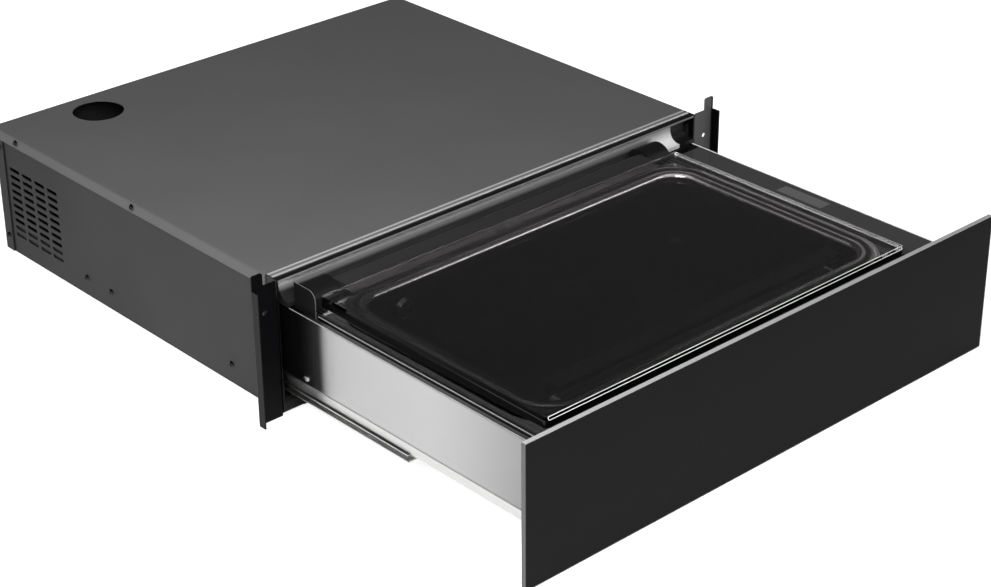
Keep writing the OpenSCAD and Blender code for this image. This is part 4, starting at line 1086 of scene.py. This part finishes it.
@dataclass
class GlassLid:
    """The tinted glass plate with its bevel and a bright line round it at the front, a painted
    highlight.

    Its underside is 0.1 mm above the bars under it, because a shared plane renders black.
    """

    ring: RoundedRing = RoundedRing(*LID_OUTLINE, 4.0, 8)
    low: float = 115.1
    high: float = 125.0
    bevel_in: float = 1.3
    bevel_down: float = 2.6
    seam: float = 0.4
    arris: float = 0.75
    arris_inset: float = 0.8
    arris_corner: float = 0.4

    def build_plate(self) -> bpy.types.Object:
        """Makes the plate.

        Returns:
            The plate as one closed mesh.
        """
        r, s = self.ring.corner, self.seam
        outline = [(r - s, self.low), (r, self.low + s)]
        outline += [(r, self.high - self.bevel_down), (r - self.bevel_in, self.high)]

        def draw(shape: bmesh.types.BMesh) -> None:
            """Draws the edge, then the two faces."""
            loops = self.ring.sweep(shape, outline)
            shape.faces.new([loop[0] for loop in loops][::-1])
            shape.faces.new([loop[-1] for loop in loops])

        piece = new_object("lid_plate", fill_mesh("lid_plate", draw), LID_GLASS, 20.0)
        piece.data.materials.append(LID_SIDE.material())
        for polygon in piece.data.polygons:
            upright = abs(polygon.normal.z) < 0.1
            if upright and min(polygon.normal.x, polygon.normal.y) < -0.5:
                polygon.material_index = 1
        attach(piece, "lid")
        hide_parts("lid_glass")
        return piece

    def build_arrises(self) -> bpy.types.Object:
        """Runs a bright line round the front bevel: a painted highlight.

        Returns:
            The line as one closed ring with rounded ends.
        """
        slope = math.hypot(self.bevel_in, self.bevel_down)
        front = self.ring.centre_y - self.ring.depth / 2 + self.bevel_in / 2
        bead = Bead(
            "arris", LID_EDGE,
            centre=place(self.ring.centre_x, front, self.high - self.bevel_down / 2),
            width=self.ring.width - 2 * self.arris_inset * self.ring.corner, height=slope,
            corner=slope * self.arris_corner, radius=self.arris / 2, bends=6, sides=8,
            tilt=math.atan2(self.bevel_down, self.bevel_in),
        )
        piece = new_object("lid_arrises", bead.mesh(), LID_EDGE, 60.0)
        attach(piece, "lid")
        return piece

    def build(self) -> None:
        """Makes the plate and its polished line."""
        for piece in (self.build_plate(), self.build_arrises()):
            log.info("%s: %d faces", piece.name, len(piece.data.polygons))


@dataclass
class EdgeLines:
    """Thin bright lines along edges of one body: painted highlights where the edges glint.

    Each is a rounded line along Y, given as (x, z, first y, last y).
    """

    name: str
    body: str
    slot: str
    finish: Finish
    radius: float
    lines: list[tuple[float, float, float, float]]
    sides: int = 12

    def build(self) -> bpy.types.Object:
        """Runs the lines through Geometry Nodes.

        Returns:
            The lines as one piece.
        """
        ends = [tuple(place(x, y, z)) for x, z, *run in self.lines for y in run]
        base = bpy.data.meshes.new(f"{self.name}_base")
        base.from_pydata(ends, [(i, i + 1) for i in range(0, len(ends), 2)], [])
        kit = GeometryKit(f"{self.name}_tree")
        path = kit.add("GeometryNodeMeshToCurve", None, {"Mesh": kit.source.outputs["Geometry"]})
        tube = kit.tube(path.outputs[0], kit.value("Line radius"), self.sides)
        mesh = kit.run(tube, self.finish, base, {"Line radius": self.radius * MM})
        piece = new_object(self.name, mesh, self.finish, 60.0)
        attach(piece, self.body)
        log.info("%s: %d lines", self.name, len(self.lines))
        return piece


# Painted highlights: bright lines where the lid's right edges, the control strip's outer edge and
# the left folds of the tray and wall glint.
EDGE_LINES = (
    EdgeLines("lid_lower_edge", "lid", "lid_glass", LID_EDGE, 0.9, [(207.2, 116.1, -32.0, -320.0)]),
    EdgeLines("lid_upper_edge", "lid", "lid_glass", EDGE_LINE, 0.3, [
        (207.3, 124.8, -32.0, -320.4),
    ]),
    EdgeLines("strip_outer_edge", "drawer", "black_plastic", LID_EDGE, 0.5, [
        (261.4, 108.9, -3.0, -345.0),
    ]),
    EdgeLines("tray_fold_edge", "drawer", "stainless", EDGE_LINE, 0.3, [
        (-253.7, 109.6, -38.0, -345.5), (-261.5, 108.6, -5.9, -346.5),
    ]),
)


# ---- studio


@dataclass(frozen=True)
class Lamp:
    """A soft box: a rectangle of light that hangs at a point and looks at another."""

    name: str
    spot: Point
    aim: Point
    width: float
    depth: float
    power: float
    mirrored: bool = False

    def build(self) -> None:
        """Hangs the lamp."""
        data = bpy.data.lights.new(self.name, "AREA")
        data.shape = "RECTANGLE"
        data.size, data.size_y, data.energy = self.width, self.depth, self.power
        lamp = bpy.data.objects.new(self.name, data)
        lamp.location = self.spot
        look = Vector(self.aim) - Vector(self.spot)
        lamp.rotation_euler = look.to_track_quat("-Z", "Y").to_euler()
        lamp.visible_glossy = self.mirrored
        bpy.context.scene.collection.objects.link(lamp)


@dataclass
class Studio:
    """Floor, world, lamps and the camera, in the frame's metres."""

    camera_at: Point = (-1.34768, -1.5347, 1.08216)
    yaw: float = 0.7370753
    pitch: float = -0.4845374
    roll: float = -0.0077774
    focal_px: float = 2313.51
    sensor: float = 36.0
    view_end: float = 40.0
    floor_half: float = 9.0
    floor_colour: Colour = grey(0.62)
    floor_glow: float = 0.85
    floor_mirrored: float = 0.2
    sky_fall: Pair = (0.02, 0.22)
    sky_dark: float = 0.040
    box_heading: Pair = (0.672, 0.740)
    box_height: Pair = (0.45, 0.52)
    box_side: Pair = (0.30, 0.12)
    box_glow: float = 2.0
    through_glow: float = 0.5
    other_glow: float = 0.35
    lamps: tuple[Lamp, ...] = (
        Lamp("key_strip", (1.30, -1.30, 1.50), (0.0, -0.25, 0.1), 1.2, 0.15, 4.0, True),
        Lamp("rim_strip", (-1.50, 1.60, 0.90), (0.0, -0.1, 0.1), 1.2, 0.15, 2.0),
        Lamp("left_box", (-0.75, -0.55, 1.00), (-0.2, 0.1, 0.13), 0.8, 0.8, 26.0),
    )

    def build_camera(self) -> None:
        """Places the camera as the photograph's was."""
        level = math.cos(self.pitch)
        forward = Vector((
            math.sin(self.yaw) * level, math.cos(self.yaw) * level, math.sin(self.pitch),
        ))
        right = Vector((math.cos(self.yaw), -math.sin(self.yaw), 0.0))
        up = right.cross(forward)
        c, s = math.cos(self.roll), math.sin(self.roll)
        right, up = right * c + up * s, up * c - right * s
        data = bpy.data.cameras.new("camera")
        data.sensor_width = self.sensor
        data.lens = self.focal_px * self.sensor / IMAGE_WIDTH
        data.clip_end = self.view_end
        camera = bpy.data.objects.new("camera", data)
        rotation = Matrix((right, up, -forward)).transposed()
        camera.matrix_world = Matrix.Translation(self.camera_at) @ rotation.to_4x4()
        bpy.context.scene.collection.objects.link(camera)
        bpy.context.scene.camera = camera

    def build_floor(self) -> None:
        """Makes the pale floor, which looks white to the camera where no shadow lies."""
        mesh = bpy.data.meshes.new("floor")
        h = self.floor_half
        mesh.from_pydata([(-h, -h, 0), (h, -h, 0), (h, h, 0), (-h, h, 0)], [], [(0, 1, 2, 3)])
        floor = bpy.data.objects.new("floor", mesh)
        bpy.context.scene.collection.objects.link(floor)
        material = bpy.data.materials.new("floor_paper")
        material.use_nodes = True
        kit = ShaderKit(material.node_tree)
        camera, glossy, through = kit.rays()
        glow = camera * self.floor_glow + glossy.max(through) * self.floor_mirrored
        kit.surface({
            "Base Color": (*self.floor_colour, 1.0), "Roughness": 0.9, "Specular IOR Level": 0.0,
            "Emission Color": (1.0, 1.0, 1.0, 1.0), "Emission Strength": glow,
        })
        mesh.materials.append(material)

    def build_world(self) -> None:
        """Makes the sky: white to the camera, falling off upwards in reflections.

        Through glass it is dimmer, with a soft box that stands in one heading.
        """
        world = bpy.data.worlds.new("studio")
        bpy.context.scene.world = world
        world.use_nodes = True
        kit = ShaderKit(world.node_tree)
        camera, glossy, through = kit.rays()
        base = kit.add("ShaderNodeTexCoord", output="Generated")
        across, along, height = (
            kit.add("ShaderNodeSeparateXYZ", None, {0: base}, i) for i in range(3)
        )
        sky = height.ramp(*self.sky_fall, 1.0, self.sky_dark)
        heading = across * self.box_heading[0] + along * self.box_heading[1]
        box = height.ramp(*self.box_height) * heading.ramp(*self.box_side)
        lit = through * (self.through_glow + box * self.box_glow)
        strength = camera + glossy * sky + lit + (1 - camera - glossy - through) * self.other_glow
        shader = kit.add("ShaderNodeBackground", None, {
            "Color": (1.0, 1.0, 1.0, 1.0), "Strength": strength,
        })
        kit.add("ShaderNodeOutputWorld", None, {"Surface": shader})

    def build(self) -> None:
        """Makes the whole studio."""
        bpy.context.scene.view_settings.view_transform = "Standard"
        self.build_camera()
        self.build_floor()
        self.build_world()
        for lamp in self.lamps:
            lamp.build()


def dress_nodes() -> None:
    """Gives every CAD node that stays in view its finish."""
    for finish, nodes in NODE_FINISHES.items():
        material = finish.material()
        for name in nodes:
            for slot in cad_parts[name].material_slots:
                slot.material = material
        log.info("%s: %d nodes", finish.name, len(nodes))


def main() -> None:
    """Builds the scene in order."""
    logging.basicConfig(level=logging.INFO, format="%(name)s: %(message)s")
    Studio().build()
    dress_nodes()
    CaseFasteners().build()
    Chamber().build()
    GlassLid().build()
    for edge in EDGE_LINES:
        edge.build()


if __name__ == "__main__":
    main()
